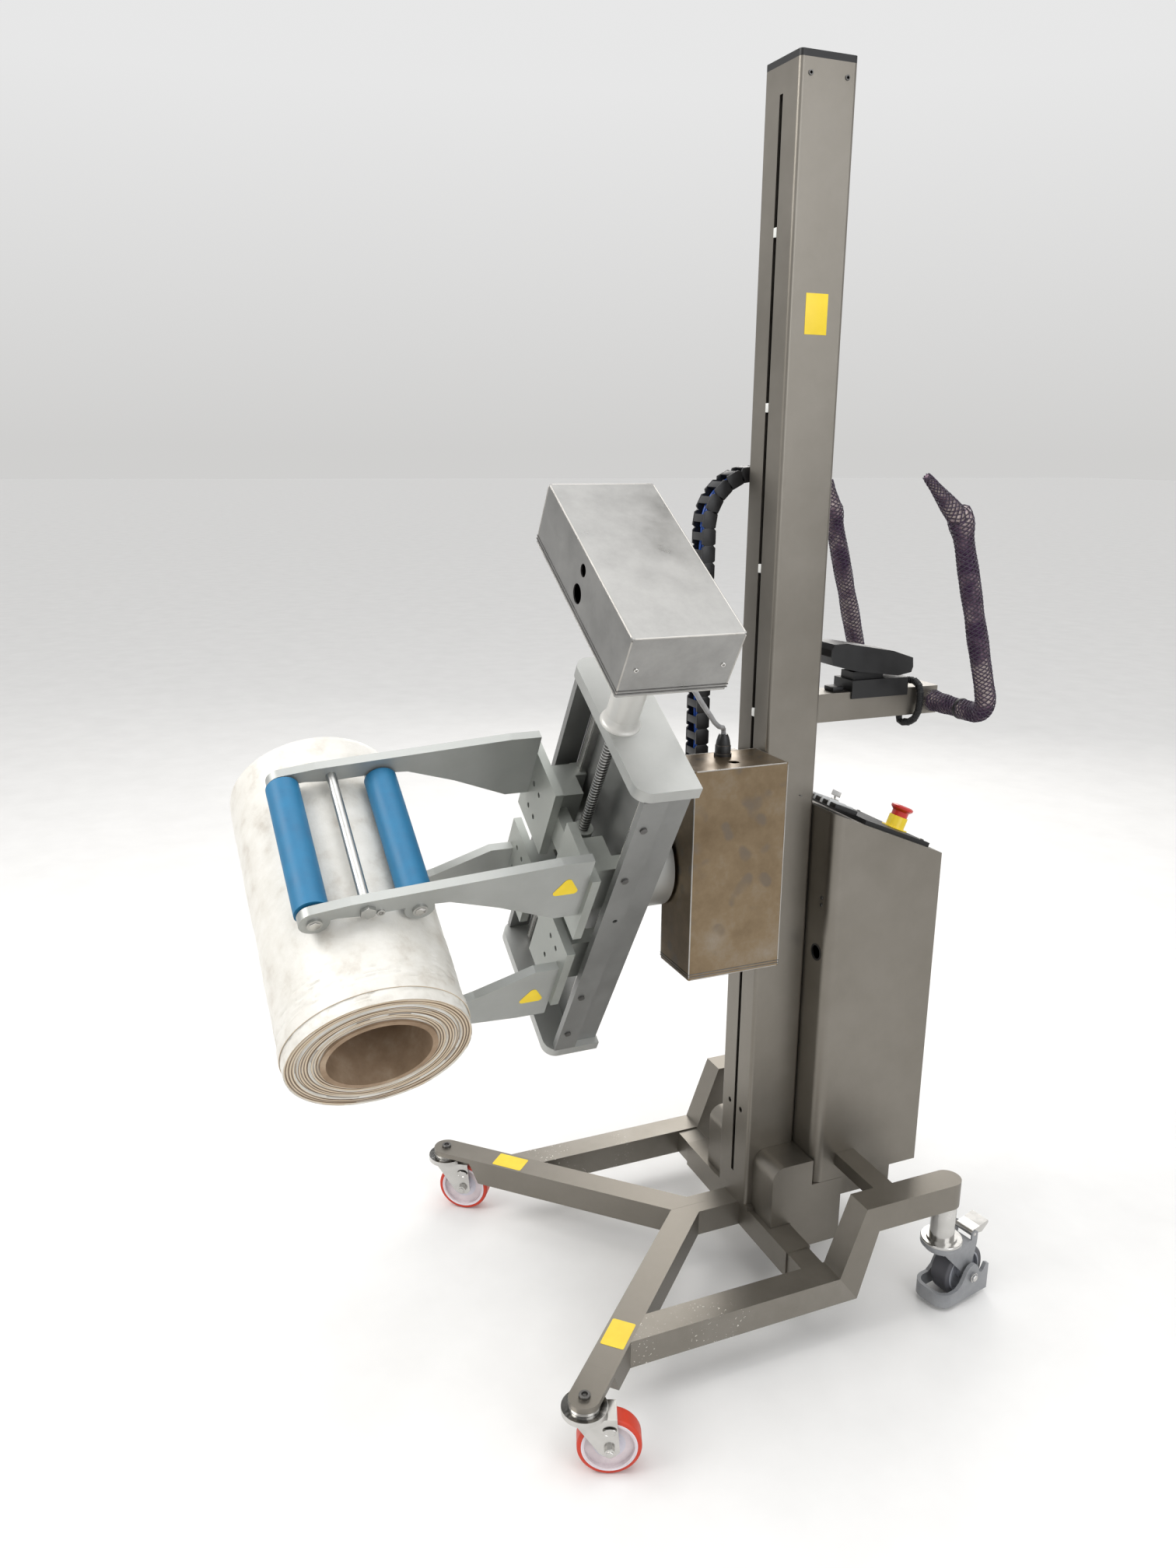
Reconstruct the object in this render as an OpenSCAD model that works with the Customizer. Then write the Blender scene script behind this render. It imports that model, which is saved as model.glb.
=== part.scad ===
// Mobile column lifter with a motorised clamp-and-turn head holding a film roll.
// Millimetres, +Z up, -Y is the machine's front, +X is the operator's right seen from the front.

/* [Mast] */
// Outside width of the square mast
mast_w = 100; // [80:1:140]
// Wall of the mast
mast_wall = 4; // [2:0.5:8]
// Top of the mast tube
mast_top = 2061; // [1500:1:2600]
// Width of the front slit
slit_w = 9; // [6:0.5:16]

/* [Base] */
// Side of the square tubes of the undercarriage
tube_w = 50; // [40:1:80]
// Underside of the low tubes
tube_z = 79; // [60:1:120]
// Wall of the tubes
tube_wall = 3; // [2:0.5:6]
// Inner face of the side beams
side_in = 237.5; // [180:0.5:320]
// Sideways distance of the front caster bolts
front_x = 365; // [300:1:450]
// Distance of the front caster bolts in front of the mast
front_y = 458; // [380:1:560]
// Distance of the rear casters behind the mast face
rear_y = 288; // [240:1:360]

/* [Casters] */
// Radius of all wheels
wheel_r = 50; // [40:1:63]
// Width of the front wheels
front_w = 32; // [24:1:40]
// Width of the rear wheels
rear_w = 36; // [24:1:40]
// Trail of the front casters
front_trail = 38; // [30:1:45]
// Trail of the rear casters
rear_trail = 51; // [40:1:56]

/* [Console] */
// Half width of the console
console_hw = 120; // [90:1:160]
// Sheet thickness of the housings
sheet_t = 2; // [1:0.5:3]
// Height of the console at its front edge
console_h = 914; // [800:1:1100]
// Fall of the console top towards the rear in degrees
console_fall = 22.67; // [0:0.01:40]

/* [Handles] */
// Height of the underside of the handle beam
beam_z = 1052; // [950:1:1150]
// Radius of the handle tube
bar_r = 12.5; // [10:0.5:16]
// Forward lean of the handles in degrees
bar_lean = 16; // [0:1:30]

/* [Head] */
// Height of the turning axis
pivot_z = 830; // [700:1:1000]
// Tilt of the head about its axis in degrees
head_tilt = 32; // [0:1:58]
// Half width of the clamp head
head_hw = 144; // [120:1:180]
// Half length of the clamp head
head_hl = 345; // [300:1:400]
// Half distance of the gripping rollers
grip_v = 143.3; // [120:0.1:180]

/* [Roll] */
// Radius of the film roll
roll_r = 136; // [100:1:137]
// Outside radius of the core
core_ro = 84; // [80:1:90]
// Bore radius of the core
core_ri = 76; // [70:0.5:78]
// Low end of the roll
roll_a = -228; // [-300:1:-150]
// High end of the roll
roll_b = 272; // [150:1:300]

/* [Hidden] */
$fn = 64;
eps = 0.01;
origin_x = 13.15;
origin_y = -228;
tube_top = tube_z + tube_w;
tube_in = tube_w - 2 * tube_wall;
roll_y = -717.5;
axle_front_y = -791.6;
axle_rear_y = -643.3;
roller_r = 25;
swivel_fr = 68;
swivel_fl = 56;
swivel_rr = 101;
swivel_rl = 95;
belt_x = 30.3;
leg_len = front_x * sqrt(2);
pulley_low = 250;
pulley_high = 2010;
cable_route = [[323.8, -300, 1234.9], [316.4, -300, 1223], [307, -295, 1211], [290, -280, 1196], [262, -253, 1176],
    [231, -228, 1156], [192, -197, 1133], [157, -169, 1113], [120, -141, 1093], [89, -116, 1078],
    [68, -99, 1071], [56, -89.8, 1067.5], [49.2, -84.7, 1063], [47, -83, 1056.5], [47, -83, 1050.6]];
conduit_route = [[0, 298.1, 1110], [0, 302, 1110], [4, 307, 1111.5], [12, 312, 1113], [23, 317, 1112.5], [32, 319.5, 1106],
    [36, 320, 1094], [37, 320, 1078], [37, 318, 1060], [33, 314, 1046], [24, 309, 1038], [12, 306, 1035],
    [4, 304, 1038], [2, 304, 1044.5], [2, 304, 1051.9]];

// ---------- helpers ----------

// Puts a part drawn from the mast's front face into the row frame
module placed() {
    translate([-origin_x, -origin_y, 0]) children();
}

// Puts a part drawn in the head's own axes into the row frame
module in_head() {
    placed() translate([0, 0, pivot_z]) rotate([0, head_tilt, 0]) children();
}

// Rounded rectangle in plan
module rrect(w, d, r) {
    square([w - 2 * r, d], center = true);
    square([w, d - 2 * r], center = true);
    for (x = [-1, 1], y = [-1, 1]) translate([x * (w / 2 - r), y * (d / 2 - r)]) circle(r);
}

// Box given by two corners
module span(a, b) {
    translate(a) cube(b - a);
}

// Rounded post given by its plan centre, size and height
module post(c, w, d, h, r) {
    translate(c) linear_extrude(h) rrect(w, d, r);
}

// Side profile drawn in Y and Z, extruded along X from x0 to x1
module along_x(x0, x1) {
    translate([x0, 0, 0]) rotate([90, 0, 90]) linear_extrude(x1 - x0) children();
}

// Cylinder along X from x0 to x1 at y, z
module rod_x(x0, x1, y, z, r) {
    translate([x0, y, z]) rotate([0, 90, 0]) cylinder(h = x1 - x0, r = r);
}

// Cylinder along Y from y0 to y1 at x, z
module rod_y(y0, y1, x, z, r) {
    translate([x, y0, z]) rotate([-90, 0, 0]) cylinder(h = y1 - y0, r = r);
}

// Both sides of the machine
module both() {
    children();
    mirror([1, 0, 0]) children();
}

function unit(v) = v / norm(v);
function ring(c, t, up, r, n) = let (a = unit(cross(t, up)), b = cross(a, t))
    [for (i = [0:n - 1]) c + r * (cos(360 * i / n) * a + sin(360 * i / n) * b)];

// Closed round tube along a route
module cord(route, up, r, n) {
    m = len(route);
    pts = [for (i = [0:m - 1])
        each ring(route[i], unit(route[min(i + 1, m - 1)] - route[max(i - 1, 0)]), up, r, n)];
    sides = [for (k = [0:m - 2], i = [0:n - 1])
        [k * n + i, k * n + (i + 1) % n, (k + 1) * n + (i + 1) % n, (k + 1) * n + i]];
    low = [[for (i = [n - 1:-1:0]) i]];
    high = [[for (i = [0:n - 1]) (m - 1) * n + i]];
    polyhedron(points = pts, faces = concat(sides, low, high), convexity = 6);
}

// ---------- mast ----------

module mast_tube() color([0.6, 0.58, 0.54]) placed() difference() {
    union() {
        post([0, mast_w / 2, 137], mast_w, mast_w, mast_top - 137, 6);
        span([-102, 48, 1145], [-49, 127, 1149.8]);
    }
    post([0, mast_w / 2, 130], mast_w - 2 * mast_wall, mast_w - 2 * mast_wall, mast_top, 2.5);
    span([-slit_w / 2, -5, 184], [slit_w / 2, 10, 2021]);
    for (x = [-20, 20]) rod_y(-5, 10, x, 323, 5);
    rod_y(90, 110, 0, pulley_low, 12);
}

module mast_cap() color([0.05, 0.05, 0.06]) placed() {
    post([0, mast_w / 2, mast_top], mast_w, mast_w, 10, 6);
    difference() {
        post([0, mast_w / 2, mast_top - 14], mast_w - 8.6, mast_w - 8.6, 14.1, 2.4);
        post([0, mast_w / 2, mast_top - 16], mast_w - 15, mast_w - 15, 16, 2);
    }
    // cheeks and pin of the upper pulley
    for (y = [44, 92]) span([-12, y, pulley_high - 14], [12, y + 3, mast_top + 1]);
    rod_y(44, 95, 0, pulley_high, 6);
}

module lift_belt() color([0.1, 0.1, 0.1]) placed() difference() {
    union() {
        span([-belt_x - 3, 60, pulley_low], [belt_x + 3, 80, pulley_high]);
        for (z = [pulley_low, pulley_high]) rod_y(60, 80, 0, z, belt_x + 3);
    }
    span([-belt_x, 50, pulley_low], [belt_x, 90, pulley_high]);
    for (z = [pulley_low, pulley_high]) rod_y(50, 90, 0, z, belt_x);
}

module pulley_wheel(z) {
    rod_y(59.5, 80.5, 0, z, 30);
    rod_y(56.5, 59.5, 0, z, 35);
    rod_y(80.5, 83.5, 0, z, 35);
}

module pulley_top() color([0.75, 0.76, 0.78]) placed() difference() {
    pulley_wheel(pulley_high);
    rod_y(50, 90, 0, pulley_high, 6.05);
}

module pulley_bottom() color([0.75, 0.76, 0.78]) placed() {
    pulley_wheel(pulley_low);
    rod_y(50, 124, 0, pulley_low, 8);
}

module drive_pack() color([0.15, 0.15, 0.17]) placed() {
    difference() {
        union() {
            rod_y(106, 250, 0, pulley_low, 39);
            span([-48, 102.6, pulley_low - 42], [48, 112, pulley_low + 42]);
        }
        rod_y(90, 126, 0, pulley_low, 8.05);
    }
    for (x = [-82, 8]) span([x, 150, 320], [x + 74, 300, 440]);
    span([-86, 150, 314], [86, 300, 320]);
}

// ---------- undercarriage ----------

module cross_beam() color([0.6, 0.58, 0.54]) placed() {
    difference() {
        span([-190, 5, tube_z], [190, 55, tube_top]);
        span([-191, 5 + tube_wall, tube_z + tube_wall], [191, 55 - tube_wall, tube_top - tube_wall]);
    }
    difference() {
        translate([0, 0, tube_z]) linear_extrude(tube_w)
            polygon([[-25, 5], [25, 5], [25, -82.6], [0, -57.6], [-25, -82.6]]);
        span([-22, -90, tube_z + 3], [22, 4.9, tube_top - 3]);
    }
    span([-50, 0, tube_top], [50, 150, 137]);
    span([-60, 0, tube_top], [60, 14.3, 137]);
}

// One front leg, drawn along +X from the middle and turned by 45 degrees
module front_leg() {
    translate([0, -93, 0]) rotate([0, 0, -45]) difference() {
        union() {
            translate([0, 0, tube_z]) linear_extrude(tube_w)
                polygon([[25.2, -25], [-24.8, 25], [400, 25], [400, -25]]);
            span([400, -25, tube_z], [433, 25, tube_top]);
            rotate([90, 0, 0]) translate([0, 0, -25]) linear_extrude(50)
                polygon([[400, 90], [433, tube_z], [452, 119], [452, 129], [400, 129]]);
        }
        translate([0, 0, tube_z + tube_wall]) linear_extrude(tube_in)
            polygon([[28, -22], [-16, 22], [400, 22], [400, -22]]);
    }
    // tip plate that holds the castor
    translate([0, -93, 0]) rotate([0, 0, -45]) difference() {
        union() {
            span([452.05, -25, 119], [leg_len, 25, tube_top]);
            translate([leg_len, 0, 119]) cylinder(h = 10, r = 25);
        }
        translate([leg_len, 0, 100]) cylinder(h = 40, r = 6.1);
        translate([leg_len, 0, 125]) cylinder(h = 10, r = 9.2);
    }
}

module front_legs() color([0.6, 0.58, 0.54]) placed() both() front_leg();

module side_beam() {
    difference() {
        translate([0, 0, tube_z]) linear_extrude(tube_w)
            polygon([[side_in, -295.1], [side_in + 50, -345.1], [side_in + 50, 91], [side_in, 91]]);
        translate([0, 0, tube_z + 3]) linear_extrude(tube_in)
            polygon([[side_in + 3, -290], [side_in + 47, -350], [side_in + 47, 95], [side_in + 3, 95]]);
        along_x(side_in - 1, side_in + 51) polygon([[53, tube_top], [91, tube_z], [99, tube_z], [99, tube_top]]);
    }
    span([150, 8.1, tube_z + 3.1], [side_in, 51.9, tube_top - 3.1]);
}

module side_beams() color([0.6, 0.58, 0.54]) placed() both() side_beam();

module rear_beam() {
    difference() {
        union() {
            along_x(side_in, side_in + 50)
                polygon([[53, 129], [91, 79], [128, 204.6], [rear_y, 204.6], [rear_y, 254.6], [99, 254.6]]);
            translate([side_in + 25, rear_y, 204.6]) cylinder(h = 50, r = 25);
        }
        along_x(side_in + 3, side_in + 47)
            polygon([[55.2, 126.2], [88.7, 82], [125.8, 207.6], [rear_y, 207.6], [rear_y, 251.6], [101.1, 251.6]]);
        translate([side_in + 25, rear_y, 207.6]) cylinder(h = 44, r = 22);
    }
    span([console_hw + 0.2, 147, 229.6], [side_in, 187, 254.6]);
}

module rear_beams() color([0.6, 0.58, 0.54]) placed() both() rear_beam();

module caster_stems() color([0.7, 0.7, 0.68]) placed() both() {
    translate([front_x, -front_y, 0]) {
        translate([0, 0, 96]) cylinder(h = 30, r = 6);
        translate([0, 0, 125]) difference() {
            cylinder(h = 4.4, r = 9);
            translate([0, 0, 1.6]) cylinder(h = 4, r = 3.4, $fn = 6);
        }
        translate([0, 0, 113.4]) cylinder(h = 5.6, r = 24);
        translate([0, 0, 94.5]) cylinder(h = 6, r = 9, $fn = 6);
    }
    translate([side_in + 25, rear_y, 0]) {
        translate([0, 0, 137]) cylinder(h = 67.6, r = 22);
        translate([0, 0, 133.4]) cylinder(h = 4, r = 27);
        translate([0, 0, 106]) cylinder(h = 30, r = 8);
        translate([0, 0, 103]) cylinder(h = 8, r = 12, $fn = 6);
    }
}

module cover_profile(i) {
    polygon([[15 + i, 129.5 + i], [99.5 - i, 129.5 + i], [99.5 - i, 225], [15 + i, 225]]);
    polygon([[40, 200], [99.5 - i, 200], [99.5 - i, 250 - i], [40, 250 - i]]);
    translate([40, 225]) circle(25 - i);
    polygon([[57 + i, 70 + i], [165 - i, 70 + i], [165 - i, 199.5 - i], [57 + i, 199.5 - i]]);
}

module base_covers() color([0.6, 0.58, 0.54]) placed() both() difference() {
    along_x(50.3, 120) cover_profile(0);
    along_x(49, 118) cover_profile(sheet_t);
}

// ---------- casters ----------

module front_fork(sx, a) {
    placed() translate([sx * front_x, -front_y, 0]) rotate([0, 0, a]) difference() {
        union() {
            translate([0, 0, 104]) cylinder(h = 9, r = 36);
            span([-20, -21, 101.4], [49, 21, 104.5]);
            for (y = [-21, 18]) translate([0, y + 3, 0]) rotate([90, 0, 0]) linear_extrude(3)
                polygon([[-20, 104.5], [49, 104.5], [54, 46], [47, 38], [30, 38], [23, 43]]);
            translate([front_trail, 24, wheel_r]) rotate([90, 0, 0]) cylinder(h = 48, r = 5);
            translate([front_trail, 27.5, wheel_r]) rotate([90, 0, 0]) cylinder(h = 6.5, r = 8, $fn = 6);
            translate([front_trail, -21, wheel_r]) rotate([90, 0, 0]) cylinder(h = 6.5, r = 8, $fn = 6);
        }
        translate([0, 0, 90]) cylinder(h = 40, r = 6.05);
        translate([0, 0, 90]) cylinder(h = 12.6, r = 10.5);
    }
}

module wheel(w, hub_r) {
    rotate([90, 0, 0]) translate([0, 0, -w / 2]) difference() {
        union() {
            translate([0, 0, 4]) cylinder(h = w - 8, r = wheel_r);
            cylinder(h = w, r = wheel_r - 4);
            translate([0, 0, w / 2]) rotate_extrude()
                for (s = [-1, 1]) translate([wheel_r - 4, s * (w / 2 - 4)]) circle(4);
            translate([0, 0, -1.5]) cylinder(h = w + 3, r = 13);
        }
        translate([0, 0, -5]) cylinder(h = w + 10, r = 5.05);
        for (z = [-9, w - 7]) translate([0, 0, z]) difference() {
            cylinder(h = 16, r = hub_r - 5);
            translate([0, 0, -1]) cylinder(h = 18, r = 15);
        }
    }
}

module front_wheel(sx, a) {
    placed() translate([sx * front_x, -front_y, wheel_r]) rotate([0, 0, a])
        translate([front_trail, 0, 0]) wheel(front_w, 43.5);
}

module front_fork_left() color([0.6, 0.6, 0.6]) front_fork(-1, swivel_fl);
module front_fork_right() color([0.6, 0.6, 0.6]) front_fork(1, swivel_fr);
module front_wheel_left() color([0.75, 0.12, 0.06]) front_wheel(-1, swivel_fl);
module front_wheel_right() color([0.75, 0.12, 0.06]) front_wheel(1, swivel_fr);

module guard_block(i, back) {
    span([-2, -37 + i, 7], [back, 37 - i, 90]);
    span([-27 + i, -12, 7], [0, 12, 90]);
    for (y = [-12, 12]) translate([-2, y, 7]) cylinder(h = 83, r = 25 - i);
}

module guard() {
    intersection() {
        difference() {
            guard_block(0, 96);
            translate([0, 0, -1]) guard_block(7, 98);
            translate([0, 0, 1]) guard_block(7, 98);
        }
        rotate([90, 0, 0]) translate([0, 0, -40]) linear_extrude(80)
            polygon([[-28, 8], [97, 8], [97, 60], [88, 64], [81, 52], [76, 49], [71, 52], [67, 64], [60, 72],
                [51, 75], [42, 72], [35, 64], [24, 44], [12, 35], [-28, 35]]);
    }
}

module rear_fork(sx, a) {
    placed() translate([sx * (side_in + 25), rear_y, 0]) rotate([0, 0, a]) difference() {
        union() {
            translate([0, 0, 122]) cylinder(h = 11, r = 37);
            translate([0, 0, 114]) cylinder(h = 9, r = 30);
            span([-18, -23, 112], [58, 23, 116]);
            for (y = [-23, 20]) translate([0, y + 3, 0]) rotate([90, 0, 0]) linear_extrude(3)
                polygon([[-18, 116], [58, 116], [58, 128], [66, 134], [74, 128], [74, 106], [64, 60], [58, 42],
                    [44, 42], [34, 60]]);
            translate([rear_trail, 43, wheel_r]) rotate([90, 0, 0]) cylinder(h = 86, r = 5);
            for (y = [44, -36.8]) translate([rear_trail, y, wheel_r]) rotate([90, 0, 0]) cylinder(h = 7.2, r = 8, $fn = 6);
            for (y = [30.5, -22.5]) translate([rear_trail, y, wheel_r]) rotate([90, 0, 0]) cylinder(h = 8, r = 9);
            guard();
        }
        translate([0, 0, 90]) cylinder(h = 60, r = 8.05);
        translate([0, 0, 90]) cylinder(h = 24, r = 13.5);
        translate([66, 30, 125]) rotate([90, 0, 0]) cylinder(h = 60, r = 3.05);
    }
}

module rear_wheel(sx, a) {
    placed() translate([sx * (side_in + 25), rear_y, wheel_r]) rotate([0, 0, a])
        translate([rear_trail, 0, 0]) wheel(rear_w, 42);
}

module brake_pedal(sx, a) {
    placed() translate([sx * (side_in + 25), rear_y, 0]) rotate([0, 0, a]) {
        translate([66, 23, 125]) rotate([90, 0, 0]) cylinder(h = 46, r = 3);
        translate([66, 19, 125]) rotate([90, 0, 0]) cylinder(h = 38, r = 6);
        rotate([90, 0, 0]) translate([0, 0, -18]) linear_extrude(36)
            polygon([[64, 121], [72, 121], [96, 128], [108, 134], [107, 137], [84, 133], [66, 131]]);
        for (y = [-18, 15]) translate([0, y + 3, 0]) rotate([90, 0, 0]) linear_extrude(3)
            polygon([[72, 121], [92, 118], [108, 131], [108, 134], [96, 128]]);
    }
}

module rear_fork_left() color([0.5, 0.5, 0.52]) rear_fork(-1, swivel_rl);
module rear_fork_right() color([0.5, 0.5, 0.52]) rear_fork(1, swivel_rr);
module rear_wheel_left() color([0.3, 0.3, 0.32]) rear_wheel(-1, swivel_rl);
module rear_wheel_right() color([0.3, 0.3, 0.32]) rear_wheel(1, swivel_rr);
module brake_pedal_left() color([0.6, 0.6, 0.6]) brake_pedal(-1, swivel_rl);
module brake_pedal_right() color([0.6, 0.6, 0.6]) brake_pedal(1, swivel_rr);

// ---------- console ----------

// Frame of the sloping top: local Y down the slope, local Z out of it
module on_slope() {
    translate([0, 100, console_h]) rotate([-console_fall, 0, 0]) children();
}

module console_body(i) {
    difference() {
        union() {
            translate([0, 0, 200 + i]) linear_extrude(740 - i) {
                translate([0, 215.15]) rrect(2 * (console_hw - i), 229.7 - 2 * i, 20 - i);
                for (x = [-1, 1]) translate([x * (console_hw - 20), 308]) square([40 - 2 * i, 44 - 2 * i], center = true);
            }
        }
        on_slope() span([-200, -200, -i], [200, 400, 400]);
    }
}

module console_shell() color([0.55, 0.52, 0.48]) placed() {
    difference() {
        console_body(0);
        console_body(sheet_t);
        rod_y(95, 104, 85, 650, 12.5);
        rod_y(95, 104, 0, pulley_low, 12);
    }
    span([-110, 165.4, 155], [110, 280, 200.5]);
    span([-49.8, 101, 155], [49.8, 166, 200.5]);
}

module control_panel() color([0.05, 0.05, 0.06]) placed() on_slope() difference() {
    union() {
        span([-105, 76, 0.05], [105, 228, 8]);
        translate([30, 203.7, 7]) cylinder(h = 24, r = 16.5);
    }
    translate([30, 203.7, 24]) cylinder(h = 10, r = 15.3);
    translate([30, 203.7, 12.5]) cylinder(h = 12, r = 8.05);
}

module estop_button() color([0.8, 0.05, 0.05]) placed() on_slope() translate([30, 203.7, 0]) {
    translate([0, 0, 18]) cylinder(h = 12, r = 8);
    translate([0, 0, 29.5]) cylinder(h = 10.5, r = 15);
    translate([0, 0, 40]) cylinder(h = 5, r1 = 15, r2 = 20.5);
    translate([0, 0, 45]) cylinder(h = 4, r = 20.5);
    translate([0, 0, 49]) cylinder(h = 2, r1 = 20.5, r2 = 16);
}

// ---------- handles ----------

module handle_beam() color([0.6, 0.58, 0.54]) placed() difference() {
    span([-25, 100.3, beam_z], [25, 366, beam_z + 50]);
    span([-22, 104, beam_z + 3], [22, 363, beam_z + 47]);
    rod_x(-30, 30, 350, beam_z + 25, 12.6);
}

// Frame of the leaning handle
module on_handle() {
    translate([0, 350, beam_z + 25]) rotate([bar_lean, 0, 0]) children();
}

module bend(x, r, big, s) {
    translate([x, 0, big]) rotate([90, 0, 0]) intersection() {
        rotate_extrude() translate([big, 0]) circle(r);
        translate([s > 0 ? 0 : -2 * big, -2 * big, -50]) cube([2 * big, 2 * big, 100]);
    }
}

module bar(r, top) {
    rod_x(-140, 140, 0, 0, r);
    for (s = [-1, 1]) {
        bend(s * 140, r, 40, s);
        translate([s * 180, 0, 40]) cylinder(h = top - 40, r = r);
    }
}

module handle_bar() color([0.7, 0.7, 0.7]) placed() on_handle() bar(bar_r, 325);

module sleeve() {
    difference() {
        union() {
            rod_x(38, 140, 0, 0, 17.5);
            bend(140, 17.5, 40, 1);
            translate([180, 0, 40]) cylinder(h = 270, r = 17.5);
            translate([180, 0, 310]) cylinder(h = 12, r1 = 17.5, r2 = 21);
            translate([180, 0, 322]) cylinder(h = 22, r = 21);
            translate([180, 0, 344]) cylinder(h = 10, r1 = 21, r2 = 14);
            translate([180, 0, 334]) children();
        }
        rod_x(30, 140, 0, 0, bar_r + 0.1);
        bend(140, bar_r + 0.1, 40, 1);
        translate([180, 0, 40]) cylinder(h = 286, r = bar_r + 0.1);
    }
}

module grip_sleeves() color([0.55, 0.54, 0.5]) placed() on_handle() {
    sleeve() rotate([31, 0, 0]) {
        cylinder(h = 36, r = 15);
        translate([0, 0, 36]) cylinder(h = 68, r1 = 15, r2 = 7);
    }
    mirror([1, 0, 0]) sleeve() rotate([-4, 0, 0]) cylinder(h = 56, r1 = 15, r2 = 8);
}

module pendant() color([0.04, 0.04, 0.05]) placed() {
    difference() {
        span([-28.2, 180, 1090], [28.2, 298, 1122]);
        span([-25.1, 170, 1080], [25.1, 310, 1102.1]);
    }
    translate([0, 219, 1121]) span([-18, -32, 0], [18, 32, 14]);
    translate([0, 219, 1156]) rotate([-8, 0, 0]) along_x(-29, 29)
        polygon([[-88, -2], [-80, -16], [-30, -22], [60, -22], [86, -14], [88, -4], [84, 12], [40, 20], [-60, 24],
            [-84, 20], [-89, 10]]);
}

module pendant_conduit() color([0.04, 0.04, 0.05]) placed() cord(conduit_route, [0, 0.9, 0.1], 6, 10);

// ---------- carriage ----------

module carriage_plate() color([0.6, 0.58, 0.54]) placed() {
    difference() {
        union() {
            span([-50, -16, 670], [20.7, -4, 1000]);
            span([-3.5, -5, 780], [3.5, 15, 900]);
            span([-38, 14, 780], [38, 86, 900]);
            for (z = [785, 875]) {
                span([-45.7, 20, z], [45.7, 50, z + 20]);
                for (x = [-28, 12]) span([x, 4.3, z], [x + 16, 95.7, z + 20]);
            }
            // bracket of the energy chain's moving end
            span([-102, -16, 938], [-49, -4, 949.7]);
            span([-102, -78, 941], [-62, -4, 949.7]);
        }
        for (s = [-1, 1]) translate([s * (belt_x + 1.5), 70, 770]) translate([-3, -11, 0]) cube([6, 22, 150]);
        span([-24, 22, 770], [24, 78, 910]);
    }
    // wall that carries the tongue
    span([-25, 14, 780], [25, 22.5, 900]);
}

module bearing_housing() color([0.55, 0.55, 0.55]) placed() {
    difference() {
        rod_y(-260, -180, 0, pivot_z, 75);
        rod_y(-261, -184, 0, pivot_z, 30.05);
    }
    difference() {
        span([-49, -180, 760], [20.6, -16, 900]);
        span([-41, -175, 768], [12.6, -20, 892]);
    }
}

module rotator_box() color([0.6, 0.58, 0.54]) placed() {
    difference() {
        post([73.5, -90, 659], 105, 172, 358, 3);
        post([73.5, -90, 661], 101, 168, 354, 1.5);
        translate([47, -83, 1000]) cylinder(h = 30, r = 8.1);
        translate([92, -87, 1000]) cylinder(h = 30, r = 9);
    }
    // cable gland
    difference() {
        union() {
            translate([47, -83, 1003]) cylinder(h = 20, r = 8);
            translate([47, -83, 1017]) cylinder(h = 5, r = 14.5);
            translate([47, -83, 1022]) cylinder(h = 14, r = 12.5);
            translate([47, -83, 1036]) cylinder(h = 18, r1 = 12, r2 = 7);
        }
        translate([47, -83, 1050]) cylinder(h = 5, r = 4.05);
    }
}

module rotator_motor() color([0.15, 0.15, 0.17]) placed() {
    translate([74, -90, 662]) cylinder(h = 150, r = 38);
    span([30, -140, 812], [118, -40, 905]);
}

module chain_strand_moving() color([0.06, 0.06, 0.07]) placed() difference() {
    span([-102, -75, 950], [-62, -50, 1381]);
    span([-98, -71, 940], [-66, -54, 1390]);
}

module chain_strand_fixed() color([0.06, 0.06, 0.07]) placed() difference() {
    span([-102, 100, 1150], [-62, 125, 1381]);
    span([-98, 104, 1140], [-66, 121, 1390]);
}

module chain_loop() color([0.06, 0.06, 0.07]) placed() difference() {
    rod_x(-102, -62, 25, 1381, 100);
    rod_x(-103, -61, 25, 1381, 75);
    difference() {
        rod_x(-98, -66, 25, 1381, 96);
        rod_x(-99, -65, 25, 1381, 79);
    }
    span([-110, -90, 1270], [-50, 140, 1381]);
}

// ---------- clamp head (local X across, Y out, Z along) ----------

module head_shaft() color([0.7, 0.7, 0.7]) in_head() {
    rod_y(-264, -186, 0, 0, 30);
    rod_y(-272, -262.5, 0, 0, 50);
}

module back_frame() color([0.5, 0.5, 0.5]) in_head() difference() {
    union() {
        span([-131.8, -306, -325], [131.8, -294, 325]);
        for (s = [-1, 1]) translate([s * 128, -284, 0]) cube([7.6, 43.8, 650], center = true);
        rod_y(-295, -272, 0, 0, 60);
        for (v = [-222, 222]) translate([0, -287, v]) cube([250, 16, 8], center = true);
    }
}

module rails() color([0.8, 0.8, 0.82]) in_head() {
    for (s = [-1, 1]) translate([s * 100, -312, 0]) cube([16, 12, 640], center = true);
}

module end_plate() {
    rotate([0, 0, 0]) translate([0, 0, 325]) linear_extrude(20) {
        translate([-head_hw, -334]) square([2 * head_hw, 75]);
        translate([-head_hw + 25, -359]) square([2 * head_hw - 50, 26]);
        for (s = [-1, 1]) translate([s * (head_hw - 25), -334]) circle(25);
    }
}

module end_plates() color([0.62, 0.62, 0.6]) in_head() {
    difference() {
        end_plate();
        translate([0, -338, 300]) cylinder(h = 60, r = 8.05);
    }
    difference() {
        mirror([0, 0, 1]) end_plate();
        translate([0, -338, -340]) cylinder(h = 60, r = 8.05);
    }
}

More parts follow.
